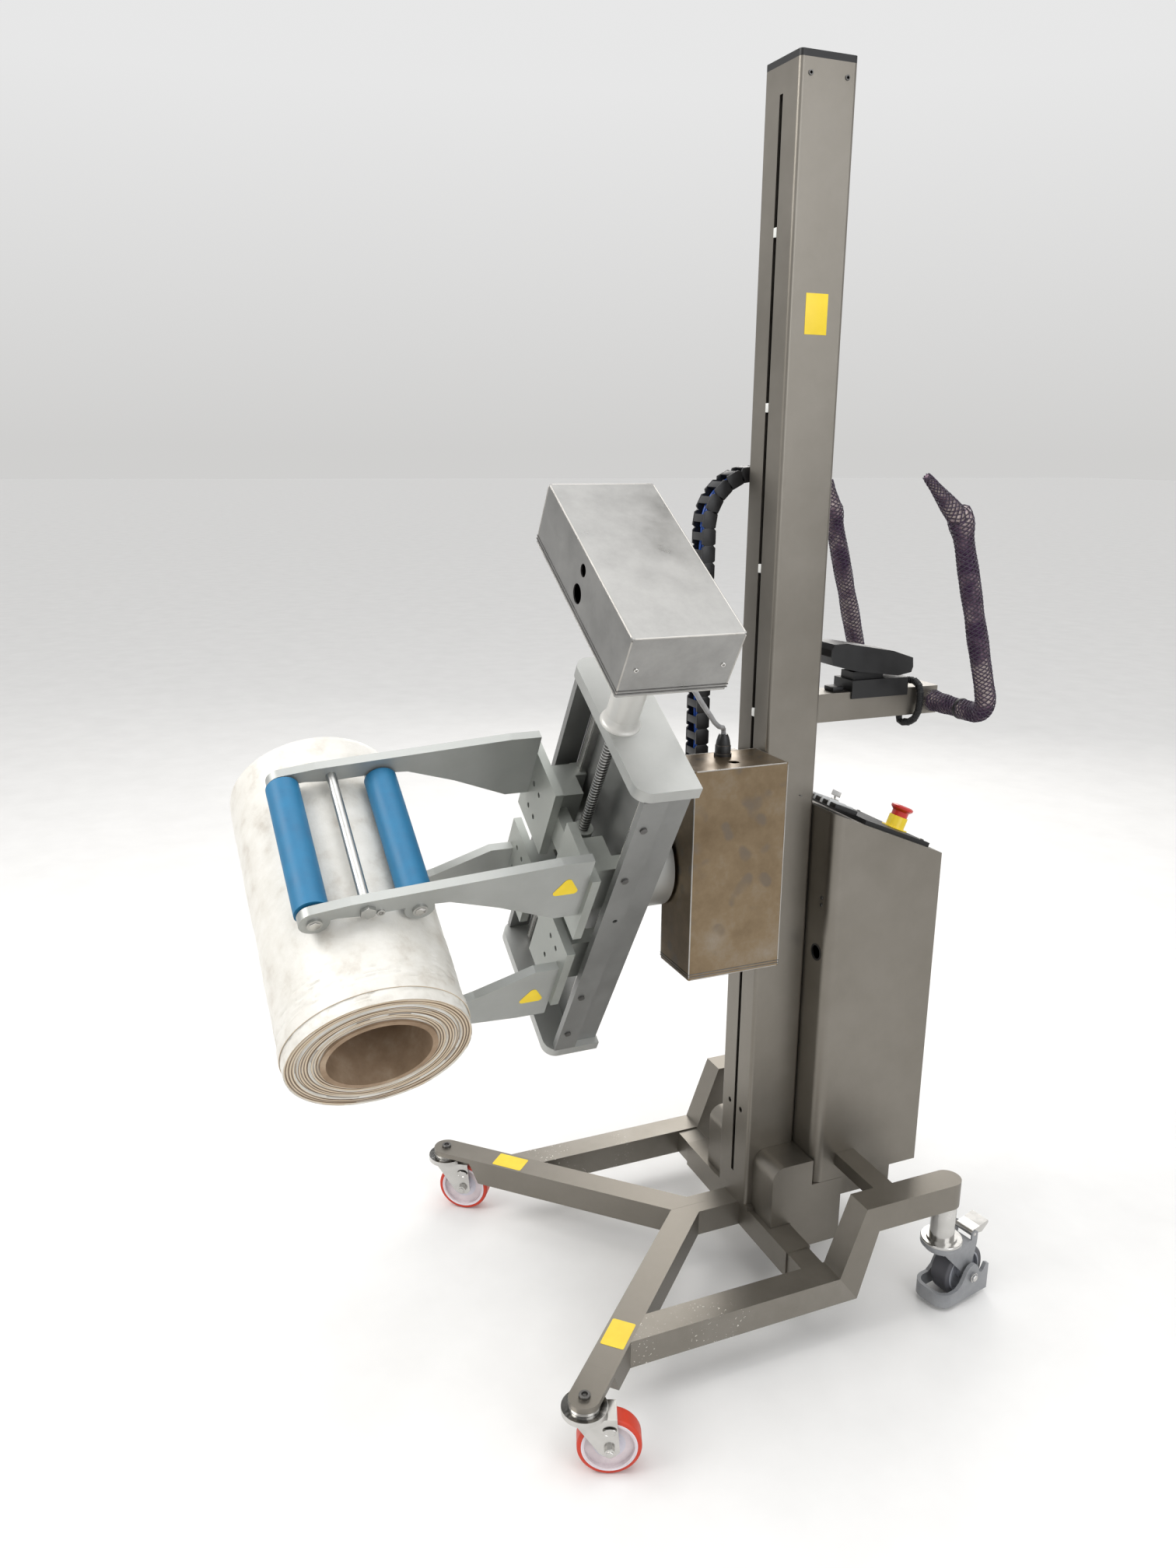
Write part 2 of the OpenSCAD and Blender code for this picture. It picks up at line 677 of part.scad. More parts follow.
module side_plates() color([0.62, 0.62, 0.6]) in_head() for (s = [-1, 1]) difference() {
    translate([s * 138, -325.6, 0]) cube([12, 39, 649.6], center = true);
    translate([s * 138 - 10, -321, 49]) rotate([0, 90, 0]) cylinder(h = 20, r = 4);
}

module side_screws() color([0.3, 0.3, 0.3]) in_head()
    for (s = [-1, 1], v = [267, 152, -160, -272]) translate([s * 145.55, -331, v]) rotate([0, 90, 0])
        cylinder(h = 3, r = 5.5, center = true);

module lead_screw() color([0.5, 0.5, 0.5]) in_head() translate([0, -338, -338]) cylinder(h = 728, r = 8);

module motor_post() color([0.7, 0.7, 0.7]) in_head() difference() {
    translate([0, -333, head_hl]) cylinder(h = 170, r = 25);
    translate([0, -338, head_hl - 1]) cylinder(h = 52, r = 8.05);
}

module motor_box() color([0.6, 0.58, 0.54]) in_head() difference() {
    translate([-44, -350, 515]) linear_extrude(96) rrect(332, 160, 3);
    translate([-44, -350, 517]) linear_extrude(92) rrect(328, 156, 1.5);
    rod_y(-435, -425, -47.6, 586, 9);
    rod_y(-435, -425, -47.7, 547.5, 14);
}

module clamp_motor() color([0.15, 0.15, 0.17]) in_head() {
    rod_x(-190, -20, -345, 562, 36);
    span([-20, -390, 520], [50, -300, 604]);
}

module clamp_cable() color([0.5, 0.5, 0.5]) placed() cord(cable_route, [0, 1, 0.15], 4, 10);

// One jaw's carriage, drawn for the upper jaw
module jaw_carriage() {
    difference() {
        union() {
            for (s = [-1, 1]) {
                span([s > 0 ? 28 : -147, -387, 21], [s > 0 ? 147 : -28, -373, 163]);
                span([s > 0 ? 45 : -112, -373.5, 45], [s > 0 ? 112 : -45, -329, 142]);
                span([s > 0 ? 86 : -114, -330, 45], [s > 0 ? 114 : -86, -309, 142]);
            }
            span([-46, -373, 60], [46, -351, 112]);
            translate([0, -338, 60]) cylinder(h = 52, r = 16);
        }
        for (s = [-1, 1]) span([s * 100 - 8.3, -318.3, 40], [s * 100 + 8.3, -300, 150]);
        translate([0, -338, 50]) cylinder(h = 80, r = 8.05);
        for (s = [-1, 1], u = [82, 108], v = [55, 107]) rod_y(-388, -378, s * u, v, 4.5);
    }
}

module arm_outline() {
    difference() {
        union() {
            polygon([[-387, 72], [-427, 72], [-521, 119], [-600, 150], [-643.3, 152], [-719, 145], [-791.6, 150],
                [-795, 165], [-742, 174], [-437, 200], [-387, 200]]);
            translate([axle_front_y, grip_v]) circle(22);
            translate([axle_rear_y, grip_v]) circle(22);
            polygon([[-806, 159.5], [-791.6, grip_v], [-742, 150], [-742, 174]]);
        }
        translate([roll_y, 0]) circle(139);
        translate([axle_front_y, grip_v]) circle(8.05);
        translate([axle_rear_y, grip_v]) circle(8.05);
        translate([-719, 156.5]) circle(8.05);
    }
}

module jaw_arms() {
    for (s = [-1, 1]) along_x(s > 0 ? 122 : -137, s > 0 ? 137 : -122) arm_outline();
}

module jaw_rods() {
    for (y = [axle_front_y, axle_rear_y]) {
        rod_x(-140, 140, y, grip_v, 8);
        for (s = [-1, 1]) rod_x(s > 0 ? 137.05 : -141, s > 0 ? 141 : -137.05, y, grip_v, 11);
    }
    rod_x(-140, 140, -719, 156.5, 8);
    for (s = [-1, 1]) translate([s * 140.1, -719, 156.5]) rotate([0, 90, 0])
        cylinder(h = 6, r = 12, center = true, $fn = 6);
}

module roller(y) {
    difference() {
        rod_x(-118, 118, y, grip_v, roller_r);
        rod_x(-119, 119, y, grip_v, 8.05);
    }
}

module upper_carriage() color([0.6, 0.58, 0.54]) in_head() jaw_carriage();
module upper_arms() color([0.62, 0.62, 0.6]) in_head() jaw_arms();
module upper_rods() color([0.7, 0.7, 0.7]) in_head() jaw_rods();
module upper_roller_front() color([0.1, 0.3, 0.7]) in_head() roller(axle_front_y);
module upper_roller_rear() color([0.1, 0.3, 0.7]) in_head() roller(axle_rear_y);
module lower_carriage() color([0.6, 0.58, 0.54]) in_head() mirror([0, 0, 1]) jaw_carriage();
module lower_arms() color([0.62, 0.62, 0.6]) in_head() mirror([0, 0, 1]) jaw_arms();
module lower_rods() color([0.7, 0.7, 0.7]) in_head() mirror([0, 0, 1]) jaw_rods();
module lower_roller_front() color([0.1, 0.3, 0.7]) in_head() mirror([0, 0, 1]) roller(axle_front_y);
module lower_roller_rear() color([0.1, 0.3, 0.7]) in_head() mirror([0, 0, 1]) roller(axle_rear_y);

// ---------- film roll ----------

module film_roll() color([0.85, 0.83, 0.78]) in_head() difference() {
    rod_x(roll_a, roll_b, roll_y, 0, roll_r);
    rod_x(roll_a - 1, roll_b + 1, roll_y, 0, core_ro);
}

module roll_core() color([0.6, 0.45, 0.3]) in_head() difference() {
    rod_x(roll_a - 2, roll_b + 2, roll_y, 0, core_ro - 0.02);
    rod_x(roll_a - 3, roll_b + 3, roll_y, 0, core_ri);
}

// ---------- one line per node ----------

mast_tube();
mast_cap();
cross_beam();
front_legs();
side_beams();
rear_beams();
caster_stems();
base_covers();
console_shell();
control_panel();
drive_pack();
lift_belt();
handle_beam();
handle_bar();
grip_sleeves();
pendant();
pendant_conduit();
chain_strand_fixed();
estop_button();
pulley_top();
pulley_bottom();
chain_loop();
lead_screw();
carriage_plate();
bearing_housing();
rotator_box();
rotator_motor();
chain_strand_moving();
head_shaft();
back_frame();
rails();
end_plates();
side_plates();
motor_post();
motor_box();
clamp_motor();
side_screws();
clamp_cable();
upper_carriage();
upper_arms();
upper_rods();
upper_roller_front();
upper_roller_rear();
lower_carriage();
lower_arms();
lower_rods();
lower_roller_front();
lower_roller_rear();
film_roll();
roll_core();
front_fork_left();
front_fork_right();
front_wheel_left();
front_wheel_right();
rear_fork_left();
rear_fork_right();
rear_wheel_left();
rear_wheel_right();
brake_pedal_left();
brake_pedal_right();
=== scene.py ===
import bpy, bmesh, math, random
from mathutils import Matrix, Vector, noise


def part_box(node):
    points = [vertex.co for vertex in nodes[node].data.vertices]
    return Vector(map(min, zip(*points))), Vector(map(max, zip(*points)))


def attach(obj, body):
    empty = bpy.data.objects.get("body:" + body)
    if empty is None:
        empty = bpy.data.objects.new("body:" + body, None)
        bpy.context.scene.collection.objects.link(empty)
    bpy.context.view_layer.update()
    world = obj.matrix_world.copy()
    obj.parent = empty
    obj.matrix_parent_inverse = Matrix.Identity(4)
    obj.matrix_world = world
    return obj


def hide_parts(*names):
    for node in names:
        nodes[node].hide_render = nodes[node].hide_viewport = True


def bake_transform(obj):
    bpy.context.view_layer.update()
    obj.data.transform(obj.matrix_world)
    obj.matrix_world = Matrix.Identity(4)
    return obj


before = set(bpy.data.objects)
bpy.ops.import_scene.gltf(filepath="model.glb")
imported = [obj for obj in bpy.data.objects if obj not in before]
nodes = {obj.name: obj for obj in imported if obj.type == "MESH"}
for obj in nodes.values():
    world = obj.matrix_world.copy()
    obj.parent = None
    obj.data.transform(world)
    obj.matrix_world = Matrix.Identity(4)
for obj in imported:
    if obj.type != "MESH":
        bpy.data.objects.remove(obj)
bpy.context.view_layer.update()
random.seed(7)


# ---------- frames ----------
def M(x, y, z):
    """A point given from the foot of the mast's front face, in mm, in the row frame in metres."""
    return Vector(((x - 13.15) / 1000, (y + 228) / 1000, z / 1000))


def frame_at(p, ex, ey, ez):
    """Matrix of a frame at p with the given axes."""
    m = Matrix.Identity(4)
    for i, c in enumerate((ex, ey, ez, p)):
        m.col[i][:3] = c
    return m


TILT = math.radians(32)     # the head, turned from upright
FALL = math.radians(22.67)  # the control panel's slope
LEAN = math.radians(16)     # the handle's sleeves
CT, ST = math.cos(TILT), math.sin(TILT)
HEAD = frame_at(M(0, 0, 830), Vector((CT, 0, -ST)), Vector((0, 1, 0)), Vector((ST, 0, CT)))
SLOPE = frame_at(M(0, 100, 914), Vector((1, 0, 0)), Vector((0, math.cos(FALL), -math.sin(FALL))),
                 Vector((0, math.sin(FALL), math.cos(FALL))))
MAST = Matrix.Translation(M(0, 0, 0))
GRIP = frame_at(M(0, 350, 1077), Vector((1, 0, 0)), Vector((0, math.cos(LEAN), math.sin(LEAN))),
                Vector((0, -math.sin(LEAN), math.cos(LEAN))))
ROLL_AXIS = (CT, 0, -ST)
ROLL_MID = Vector((0, -0.7175, 0))  # in the head's frame, in metres
SHARP = math.radians(35)            # edges turned by more than this stay sharp
# castors: kingpins and trails in mm from the mast's foot, then side, sign, front and rear angle in degrees
FRONT_PIN, FRONT_TRAIL = (365, -458), 38
REAR_PIN, REAR_TRAIL = (262.5, 288), 51
AXLE_Z = 50
CASTORS = (("left", -1, 56, 95), ("right", 1, 68, 101))


def axle(sx, pin, trail, a):
    """A wheel's centre in mm from the mast's foot, for a castor that trails at angle a."""
    return sx * pin[0] + trail * math.cos(a), pin[1] + trail * math.sin(a), AXLE_Z


# ---------- materials ----------
class Mat:
    """A node material with short ways to add noise, ramps and bumps."""

    def __init__(self, name):
        self.m = bpy.data.materials.new(name)
        self.m.use_nodes = True
        self.t = self.m.node_tree
        self.p = self.t.nodes["Principled BSDF"]
        self.co = None

    def new(self, kind, **kw):
        n = self.t.nodes.new(kind)
        for k, v in kw.items():
            setattr(n, k, v)
        return n

    def link(self, a, b):
        self.t.links.new(a, b)

    def coords(self):
        if self.co is None:
            self.co = self.new("ShaderNodeTexCoord").outputs["Object"]
        return self.co

    def noise(self, scale, detail=4, rough=0.6, stretch=(1, 1, 1)):
        mp = self.new("ShaderNodeMapping")
        mp.inputs["Scale"].default_value = stretch
        self.link(self.coords(), mp.inputs["Vector"])
        n = self.new("ShaderNodeTexNoise")
        n.inputs["Scale"].default_value = scale
        n.inputs["Detail"].default_value = detail
        n.inputs["Roughness"].default_value = rough
        self.link(mp.outputs["Vector"], n.inputs["Vector"])
        return n.outputs["Fac"]

    def ramp(self, fac, stops):
        r = self.new("ShaderNodeValToRGB")
        e = r.color_ramp.elements
        while len(e) < len(stops):
            e.new(0.5)
        for el, (pos, col) in zip(e, stops):
            el.position = pos
            el.color = (*col, 1) if len(col) == 3 else col
        self.link(fac, r.inputs["Fac"])
        return r.outputs["Color"]

    def span(self, fac, a, b, lo, hi):
        r = self.new("ShaderNodeMapRange")
        for k, v in (("From Min", a), ("From Max", b), ("To Min", lo), ("To Max", hi)):
            r.inputs[k].default_value = v
        self.link(fac, r.inputs["Value"])
        return r.outputs["Result"]

    def bump(self, height, strength=0.2, distance=0.001, normal=None):
        b = self.new("ShaderNodeBump")
        b.inputs["Strength"].default_value = strength
        b.inputs["Distance"].default_value = distance
        self.link(height, b.inputs["Height"])
        if normal is not None:
            self.link(normal, b.inputs["Normal"])
        self.link(b.outputs["Normal"], self.p.inputs["Normal"])
        return b.outputs["Normal"]

    def set(self, **kw):
        for k, v in kw.items():
            self.p.inputs[k.replace("_", " ")].default_value = v
        return self


def metal(name, dark, light, rough=(0.34, 0.5), grain=900, blotch=9, metallic=0.9, bump=0.12,
          stretch=(1, 1, 1)):
    a = Mat(name)
    a.set(Metallic=metallic)
    big = a.noise(blotch, 5, 0.65)
    a.link(a.ramp(big, [(0.3, dark), (0.7, light)]), a.p.inputs["Base Color"])
    fine = a.noise(grain, 2, 0.5, stretch)
    a.link(a.span(big, 0.3, 0.7, rough[0], rough[1]), a.p.inputs["Roughness"])
    a.bump(fine, bump, 0.0004)
    return a.m


def plastic(name, col, col2, rough=(0.35, 0.55), grain=700, bump=0.15, coat=0.0, metallic=0.0, blotch=25):
    a = Mat(name)
    a.set(Metallic=metallic, Coat_Weight=coat)
    big = a.noise(blotch, 4, 0.6)
    a.link(a.ramp(big, [(0.35, col), (0.65, col2)]), a.p.inputs["Base Color"])
    a.link(a.span(big, 0.3, 0.7, rough[0], rough[1]), a.p.inputs["Roughness"])
    a.bump(a.noise(grain, 2, 0.5), bump, 0.0003)
    return a.m


def radial(a, origin, axis):
    """Distance of each point from a line, in metres, as a shader value."""
    sub = a.new("ShaderNodeVectorMath", operation="SUBTRACT")
    a.link(a.coords(), sub.inputs[0])
    sub.inputs[1].default_value = origin
    cr = a.new("ShaderNodeVectorMath", operation="CROSS_PRODUCT")
    a.link(sub.outputs[0], cr.inputs[0])
    cr.inputs[1].default_value = Vector(axis).normalized()
    ln = a.new("ShaderNodeVectorMath", operation="LENGTH")
    a.link(cr.outputs[0], ln.inputs[0])
    return ln.outputs["Value"]


STEEL = metal("stainless_blasted", (0.2, 0.184, 0.158), (0.248, 0.23, 0.202),
              (0.36, 0.44), 1600, 5, 0.95, 0.2)
SHEET = metal("stainless_sheet", (0.24, 0.238, 0.23), (0.34, 0.336, 0.326), (0.26, 0.42), 500, 16, 0.95, 0.14)
POLISHED = metal("polished_steel", (0.5, 0.49, 0.47), (0.62, 0.61, 0.59), (0.16, 0.28), 300, 30, 1.0, 0.03)
ALU = metal("aluminium_matt", (0.4, 0.405, 0.39), (0.47, 0.475, 0.46), (0.42, 0.5), 1400, 9, 0.7, 0.14)
ALU_ARM = metal("aluminium_arm", (0.36, 0.37, 0.355), (0.43, 0.44, 0.425), (0.4, 0.5), 1600, 8, 0.6, 0.14)
ALU_SIDE = metal("aluminium_side", (0.24, 0.242, 0.235), (0.3, 0.302, 0.295), (0.4, 0.5), 1400, 9, 0.8, 0.14)
ALU_CAR = metal("aluminium_block", (0.33, 0.345, 0.32), (0.4, 0.415, 0.39), (0.4, 0.5), 1400, 9, 0.7, 0.14)
POST = metal("turned_post", (0.55, 0.54, 0.51), (0.63, 0.62, 0.59), (0.36, 0.42), 900, 10, 0.3, 0.06)
DARK_STEEL = metal("dark_steel", (0.09, 0.088, 0.084), (0.2, 0.195, 0.19), (0.3, 0.45), 800, 30, 0.9, 0.1)
ROD = metal("bright_rod", (0.4, 0.4, 0.39), (0.54, 0.54, 0.52), (0.3, 0.4), 500, 40, 1.0, 0.03)
BLACK = plastic("black_plastic", (0.004, 0.004, 0.0045), (0.008, 0.008, 0.009), (0.42, 0.55), 900, 0.18)
BLACK_GLOSS = plastic("black_moulded", (0.003, 0.003, 0.0035), (0.006, 0.006, 0.0065),
                      (0.36, 0.48), 1200, 0.1)
YELLOW = plastic("yellow_plastic", (0.78, 0.56, 0.01), (0.84, 0.62, 0.015), (0.3, 0.4))
RED = plastic("red_plastic", (0.5, 0.012, 0.008), (0.6, 0.02, 0.012), (0.25, 0.35), coat=0.2)
GREY_PL = plastic("grey_plastic", (0.2, 0.205, 0.215), (0.27, 0.275, 0.285), (0.35, 0.5))
CLEAR = plastic("frosted_spacer", (0.5, 0.51, 0.51), (0.64, 0.65, 0.65), (0.3, 0.45))
BLUE_CABLE = plastic("blue_cable", (0.01, 0.05, 0.26), (0.015, 0.08, 0.36), (0.4, 0.5))
GREY_CABLE = plastic("grey_cable", (0.24, 0.24, 0.245), (0.32, 0.32, 0.325), (0.4, 0.55), 400, 0.1)
RUBBER_BLUE = plastic("blue_rubber", (0.006, 0.125, 0.26), (0.01, 0.155, 0.31), (0.45, 0.6), 500, 0.3)
MOTOR = plastic("motor_paint", (0.06, 0.062, 0.07), (0.11, 0.112, 0.12), (0.4, 0.55), 600, 0.2)
LABEL = plastic("plain_yellow_label", (0.78, 0.56, 0.015), (0.84, 0.62, 0.03), (0.35, 0.45), 900, 0.05)
LABEL_W = plastic("plain_pale_label", (0.62, 0.63, 0.6), (0.72, 0.72, 0.7), (0.35, 0.45), 900, 0.05)
BRASS = metal("key_metal", (0.5, 0.5, 0.49), (0.7, 0.69, 0.67), (0.15, 0.3), 400, 60, 1.0, 0.05)


def overlay(a, base, first, second, col):
    """Base colour with another colour where both masks are high; gives back the joint mask."""
    both = a.new("ShaderNodeMath", operation="MULTIPLY")
    a.link(first, both.inputs[0])
    a.link(second, both.inputs[1])
    mix = a.new("ShaderNodeMix", data_type="RGBA")
    a.link(both.outputs[0], mix.inputs["Factor"])
    a.link(base, mix.inputs["A"])
    mix.inputs["B"].default_value = col
    a.link(mix.outputs["Result"], a.p.inputs["Base Color"])
    return both.outputs[0]


def scuffed():
    """The beams' tops: blasted steel with a few bright knocks."""
    a = Mat("stainless_scuffed")
    a.set(Metallic=0.95)
    base = a.ramp(a.noise(9, 5, 0.65), [(0.3, (0.225, 0.208, 0.18)), (0.7, (0.275, 0.257, 0.228))])
    spots = a.span(a.noise(230, 2, 0.5), 0.665, 0.7, 0, 1)
    where = a.span(a.noise(7, 2, 0.5), 0.5, 0.6, 0, 1)
    knocks = overlay(a, base, spots, where, (0.75, 0.72, 0.66, 1))
    a.link(a.span(knocks, 0, 1, 0.38, 0.7), a.p.inputs["Roughness"])
    a.bump(a.noise(1400, 2), 0.2, 0.0004)
    return a.m


def stained_sheet():
    """Bare sheet with brown heat tint in soft-edged patches."""
    a = Mat("stainless_tinted")
    a.set(Metallic=0.95)
    base = a.ramp(a.noise(7, 6, 0.7),
                  [(0.3, (0.155, 0.112, 0.068)), (0.5, (0.215, 0.16, 0.1)), (0.72, (0.27, 0.235, 0.19))])
    cells = a.new("ShaderNodeTexVoronoi", feature="SMOOTH_F1")
    cells.inputs["Scale"].default_value = 34
    a.link(a.coords(), cells.inputs["Vector"])
    patch = a.span(cells.outputs["Distance"], 0.22, 0.34, 1, 0)
    where = a.span(a.noise(13, 2, 0.5), 0.42, 0.52, 0, 0.75)
    overlay(a, base, patch, where, (0.15, 0.125, 0.1, 1))
    a.link(a.span(a.noise(20, 4), 0.3, 0.7, 0.28, 0.42), a.p.inputs["Roughness"])
    a.bump(a.noise(700, 2), 0.12, 0.0004)
    return a.m


STEEL_BEAM = scuffed()
TINTED = stained_sheet()


def mesh_sleeve():
    a = Mat("braided_mesh")
    a.set(Roughness=0.62, Sheen_Weight=0.25)
    f = a.noise(160, 3, 0.6)
    a.link(a.ramp(f,
                  [(0.3, (0.01, 0.003, 0.014)), (0.62, (0.026, 0.008, 0.034)), (0.85, (0.07, 0.03, 0.085))]),
           a.p.inputs["Base Color"])
    a.bump(a.noise(1800, 2), 0.4, 0.0004)
    return a.m


def wheel_mat(name, origin, axis, stops, scale, rough):
    """Colour by distance from the axle, so one turned wheel shows its tyre, rim and disc."""
    a = Mat(name)
    dist = radial(a, origin, axis)
    n = a.noise(60, 4, 0.6)
    r = a.ramp(a.span(dist, 0.0, scale, 0.0, 1.0), stops)
    r.node.color_ramp.interpolation = "CONSTANT"
    mix = a.new("ShaderNodeMix", data_type="RGBA", blend_type="MULTIPLY")
    mix.inputs["Factor"].default_value = 0.5
    a.link(r, mix.inputs["A"])
    a.link(a.ramp(n, [(0.3, (0.72, 0.72, 0.74)), (0.6, (1, 1, 1))]), mix.inputs["B"])
    a.link(mix.outputs["Result"], a.p.inputs["Base Color"])
    a.link(a.span(n, 0.3, 0.7, rough[0], rough[1]), a.p.inputs["Roughness"])
    a.bump(a.noise(500, 2), 0.12, 0.0004)
    return a.m


def film_mat():
    a = Mat("stretch_film")
    a.set(Coat_Weight=0.12, Coat_Roughness=0.3)
    dist = radial(a, HEAD @ ROLL_MID, ROLL_AXIS)
    w = a.noise(26, 6, 0.6)
    side = a.ramp(w, [(0.3, (0.55, 0.515, 0.46)), (0.46, (0.66, 0.64, 0.59)), (0.72, (0.73, 0.715, 0.675))])
    # layered end faces: fine rings between the core and the outside
    wave = a.new("ShaderNodeTexWave", wave_type="BANDS", bands_direction="X")
    cmb = a.new("ShaderNodeCombineXYZ")
    a.link(dist, cmb.inputs["X"])
    a.link(cmb.outputs["Vector"], wave.inputs["Vector"])
    wave.inputs["Scale"].default_value = 75
    wave.inputs["Distortion"].default_value = 2.6
    wave.inputs["Detail"].default_value = 3
    rings = a.ramp(wave.outputs["Fac"], [(0.1, (0.07, 0.04, 0.018)), (0.3, (0.26, 0.175, 0.1)),
                                         (0.6, (0.44, 0.33, 0.21)), (0.92, (0.6, 0.5, 0.37))])
    geo = a.new("ShaderNodeNewGeometry")
    tr = a.new("ShaderNodeVectorTransform", vector_type="NORMAL", convert_from="WORLD", convert_to="OBJECT")
    a.link(geo.outputs["Normal"], tr.inputs["Vector"])
    dt = a.new("ShaderNodeVectorMath", operation="DOT_PRODUCT")
    a.link(tr.outputs["Vector"], dt.inputs[0])
    dt.inputs[1].default_value = ROLL_AXIS
    ab = a.new("ShaderNodeMath", operation="ABSOLUTE")
    a.link(dt.outputs["Value"], ab.inputs[0])
    end = a.span(ab.outputs[0], 0.6, 0.9, 0, 1)
    mix = a.new("ShaderNodeMix", data_type="RGBA")
    a.link(end, mix.inputs["Factor"])
    a.link(side, mix.inputs["A"])
    a.link(rings, mix.inputs["B"])
    a.link(mix.outputs["Result"], a.p.inputs["Base Color"])
    a.link(a.span(w, 0.3, 0.7, 0.3, 0.46), a.p.inputs["Roughness"])
    n1 = a.bump(a.noise(55, 5, 0.7), 0.35, 0.0025)
    a.bump(a.noise(300, 3, 0.6), 0.2, 0.0008, n1)
    return a.m


def card_mat():
    a = Mat("cardboard_core")
    a.set(Roughness=0.85)
    n = a.noise(18, 5, 0.6)
    a.link(a.ramp(n, [(0.3, (0.2, 0.13, 0.075)), (0.55, (0.3, 0.21, 0.135)), (0.75, (0.42, 0.325, 0.23))]),
           a.p.inputs["Base Color"])
    a.bump(a.noise(900, 3), 0.35, 0.0005)
    return a.m


MESH = mesh_sleeve()
FILM = film_mat()
CARD = card_mat()


def finish_node(name, mat, bevel=0.0):
    """Material and edge bevel of a CAD node."""
    o = nodes[name]
    o.data.materials.clear()
    o.data.materials.append(mat)
    if bevel:
        b = o.modifiers.new("edge", "BEVEL")
        b.width = bevel
        b.segments = 2
        b.limit_method = "ANGLE"
        b.angle_limit = SHARP
        b.use_clamp_overlap = True
        b.harden_normals = False


FINISH = {
    "mast_tube": STEEL, "mast_cap": BLACK, "cross_beam": STEEL, "front_legs": STEEL,
    "side_beams": STEEL_BEAM, "rear_beams": STEEL, "caster_stems": POLISHED, "base_covers": STEEL,
    "console_shell": STEEL, "control_panel": BLACK, "drive_pack": MOTOR, "lift_belt": BLACK,
    "handle_beam": STEEL, "handle_bar": POLISHED, "pendant": BLACK_GLOSS, "pendant_conduit": BLACK,
    "estop_button": RED, "pulley_top": ALU, "pulley_bottom": ALU, "lead_screw": DARK_STEEL,
    "carriage_plate": STEEL, "bearing_housing": ALU, "rotator_box": TINTED, "rotator_motor": MOTOR,
    "head_shaft": POLISHED, "back_frame": ALU_SIDE, "rails": ROD, "end_plates": ALU,
    "side_plates": ALU_SIDE, "motor_post": POST, "motor_box": SHEET, "clamp_motor": MOTOR,
    "side_screws": DARK_STEEL, "clamp_cable": GREY_CABLE, "upper_carriage": ALU_CAR,
    "upper_arms": ALU_ARM, "upper_rods": ROD, "upper_roller_front": RUBBER_BLUE,
    "upper_roller_rear": RUBBER_BLUE, "lower_carriage": ALU_CAR, "lower_arms": ALU_ARM,
    "lower_rods": ROD, "lower_roller_front": RUBBER_BLUE, "lower_roller_rear": RUBBER_BLUE,
    "roll_core": CARD, "front_fork_left": POLISHED, "front_fork_right": POLISHED,
    "rear_fork_left": GREY_PL, "rear_fork_right": GREY_PL, "brake_pedal_left": POLISHED,
    "brake_pedal_right": POLISHED, "chain_strand_moving": BLACK, "chain_strand_fixed": BLACK,
    "chain_loop": BLACK, "grip_sleeves": MESH, "film_roll": FILM,
}
BEVELS = {"cross_beam": 0.0012, "front_legs": 0.0012, "side_beams": 0.0012, "rear_beams": 0.0012,
          "handle_beam": 0.0012, "end_plates": 0.001, "side_plates": 0.0008, "upper_arms": 0.001,
          "lower_arms": 0.001, "pendant": 0.002, "rotator_box": 0.0008, "motor_box": 0.0008,
          "console_shell": 0.0008, "carriage_plate": 0.0008}
for name, mat in FINISH.items():
    finish_node(name, mat, BEVELS.get(name, 0))
for side, sx, af, ar in CASTORS:
    a = math.radians(af)
    c = M(*axle(sx, FRONT_PIN, FRONT_TRAIL, a))
    finish_node(f"front_wheel_{side}", wheel_mat(
        f"red_wheel_{side}", c, (-math.sin(a), math.cos(a), 0),
        [(0, (0.62, 0.6, 0.66)), (0.5, (0.68, 0.6, 0.62)), (0.858, (0.55, 0.035, 0.01))], 0.05, (0.35, 0.55)))
    a = math.radians(ar)
    c = M(*axle(sx, REAR_PIN, REAR_TRAIL, a))
    finish_node(f"rear_wheel_{side}", wheel_mat(
        f"grey_wheel_{side}", c, (-math.sin(a), math.cos(a), 0),
        [(0, (0.26, 0.27, 0.3)), (0.5, (0.3, 0.31, 0.34)), (0.8, (0.075, 0.075, 0.085))], 0.05, (0.4, 0.6)))


# ---------- mesh helpers ----------
def piece(name, verts, faces, mat, body, smooth=True, bevel=0.0):
    """New mesh object that rides on a body; any other body, such as a tuple (a, b, start, end), only has its
    transform baked.
    """
    me = bpy.data.meshes.new(name)
    me.from_pydata([tuple(v) for v in verts], [], faces)
    me.validate()
    bm = bmesh.new()
    bm.from_mesh(me)
    bmesh.ops.recalc_face_normals(bm, faces=bm.faces)
    if bevel:
        sharp = [e for e in bm.edges if len(e.link_faces) == 2 and e.calc_face_angle(0) > 0.6]
        bmesh.ops.bevel(bm, geom=sharp, offset=bevel, segments=2, profile=0.6, affect="EDGES",
                        clamp_overlap=True)
    bm.to_mesh(me)
    bm.free()
    o = bpy.data.objects.new(name, me)
    bpy.context.scene.collection.objects.link(o)
    me.materials.append(mat)
    if smooth:
        for p in me.polygons:
            p.use_smooth = True
        me.set_sharp_from_angle(angle=SHARP)
    if isinstance(body, str):
        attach(o, body)
    elif body:
        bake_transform(o)
    return o


def joined(parts):
    """Several (vertices, faces) pairs as one."""
    v, f = [], []
    for pv, pf in parts:
        n = len(v)
        v += list(pv)
        f += [tuple(i + n for i in q) for q in pf]
    return v, f


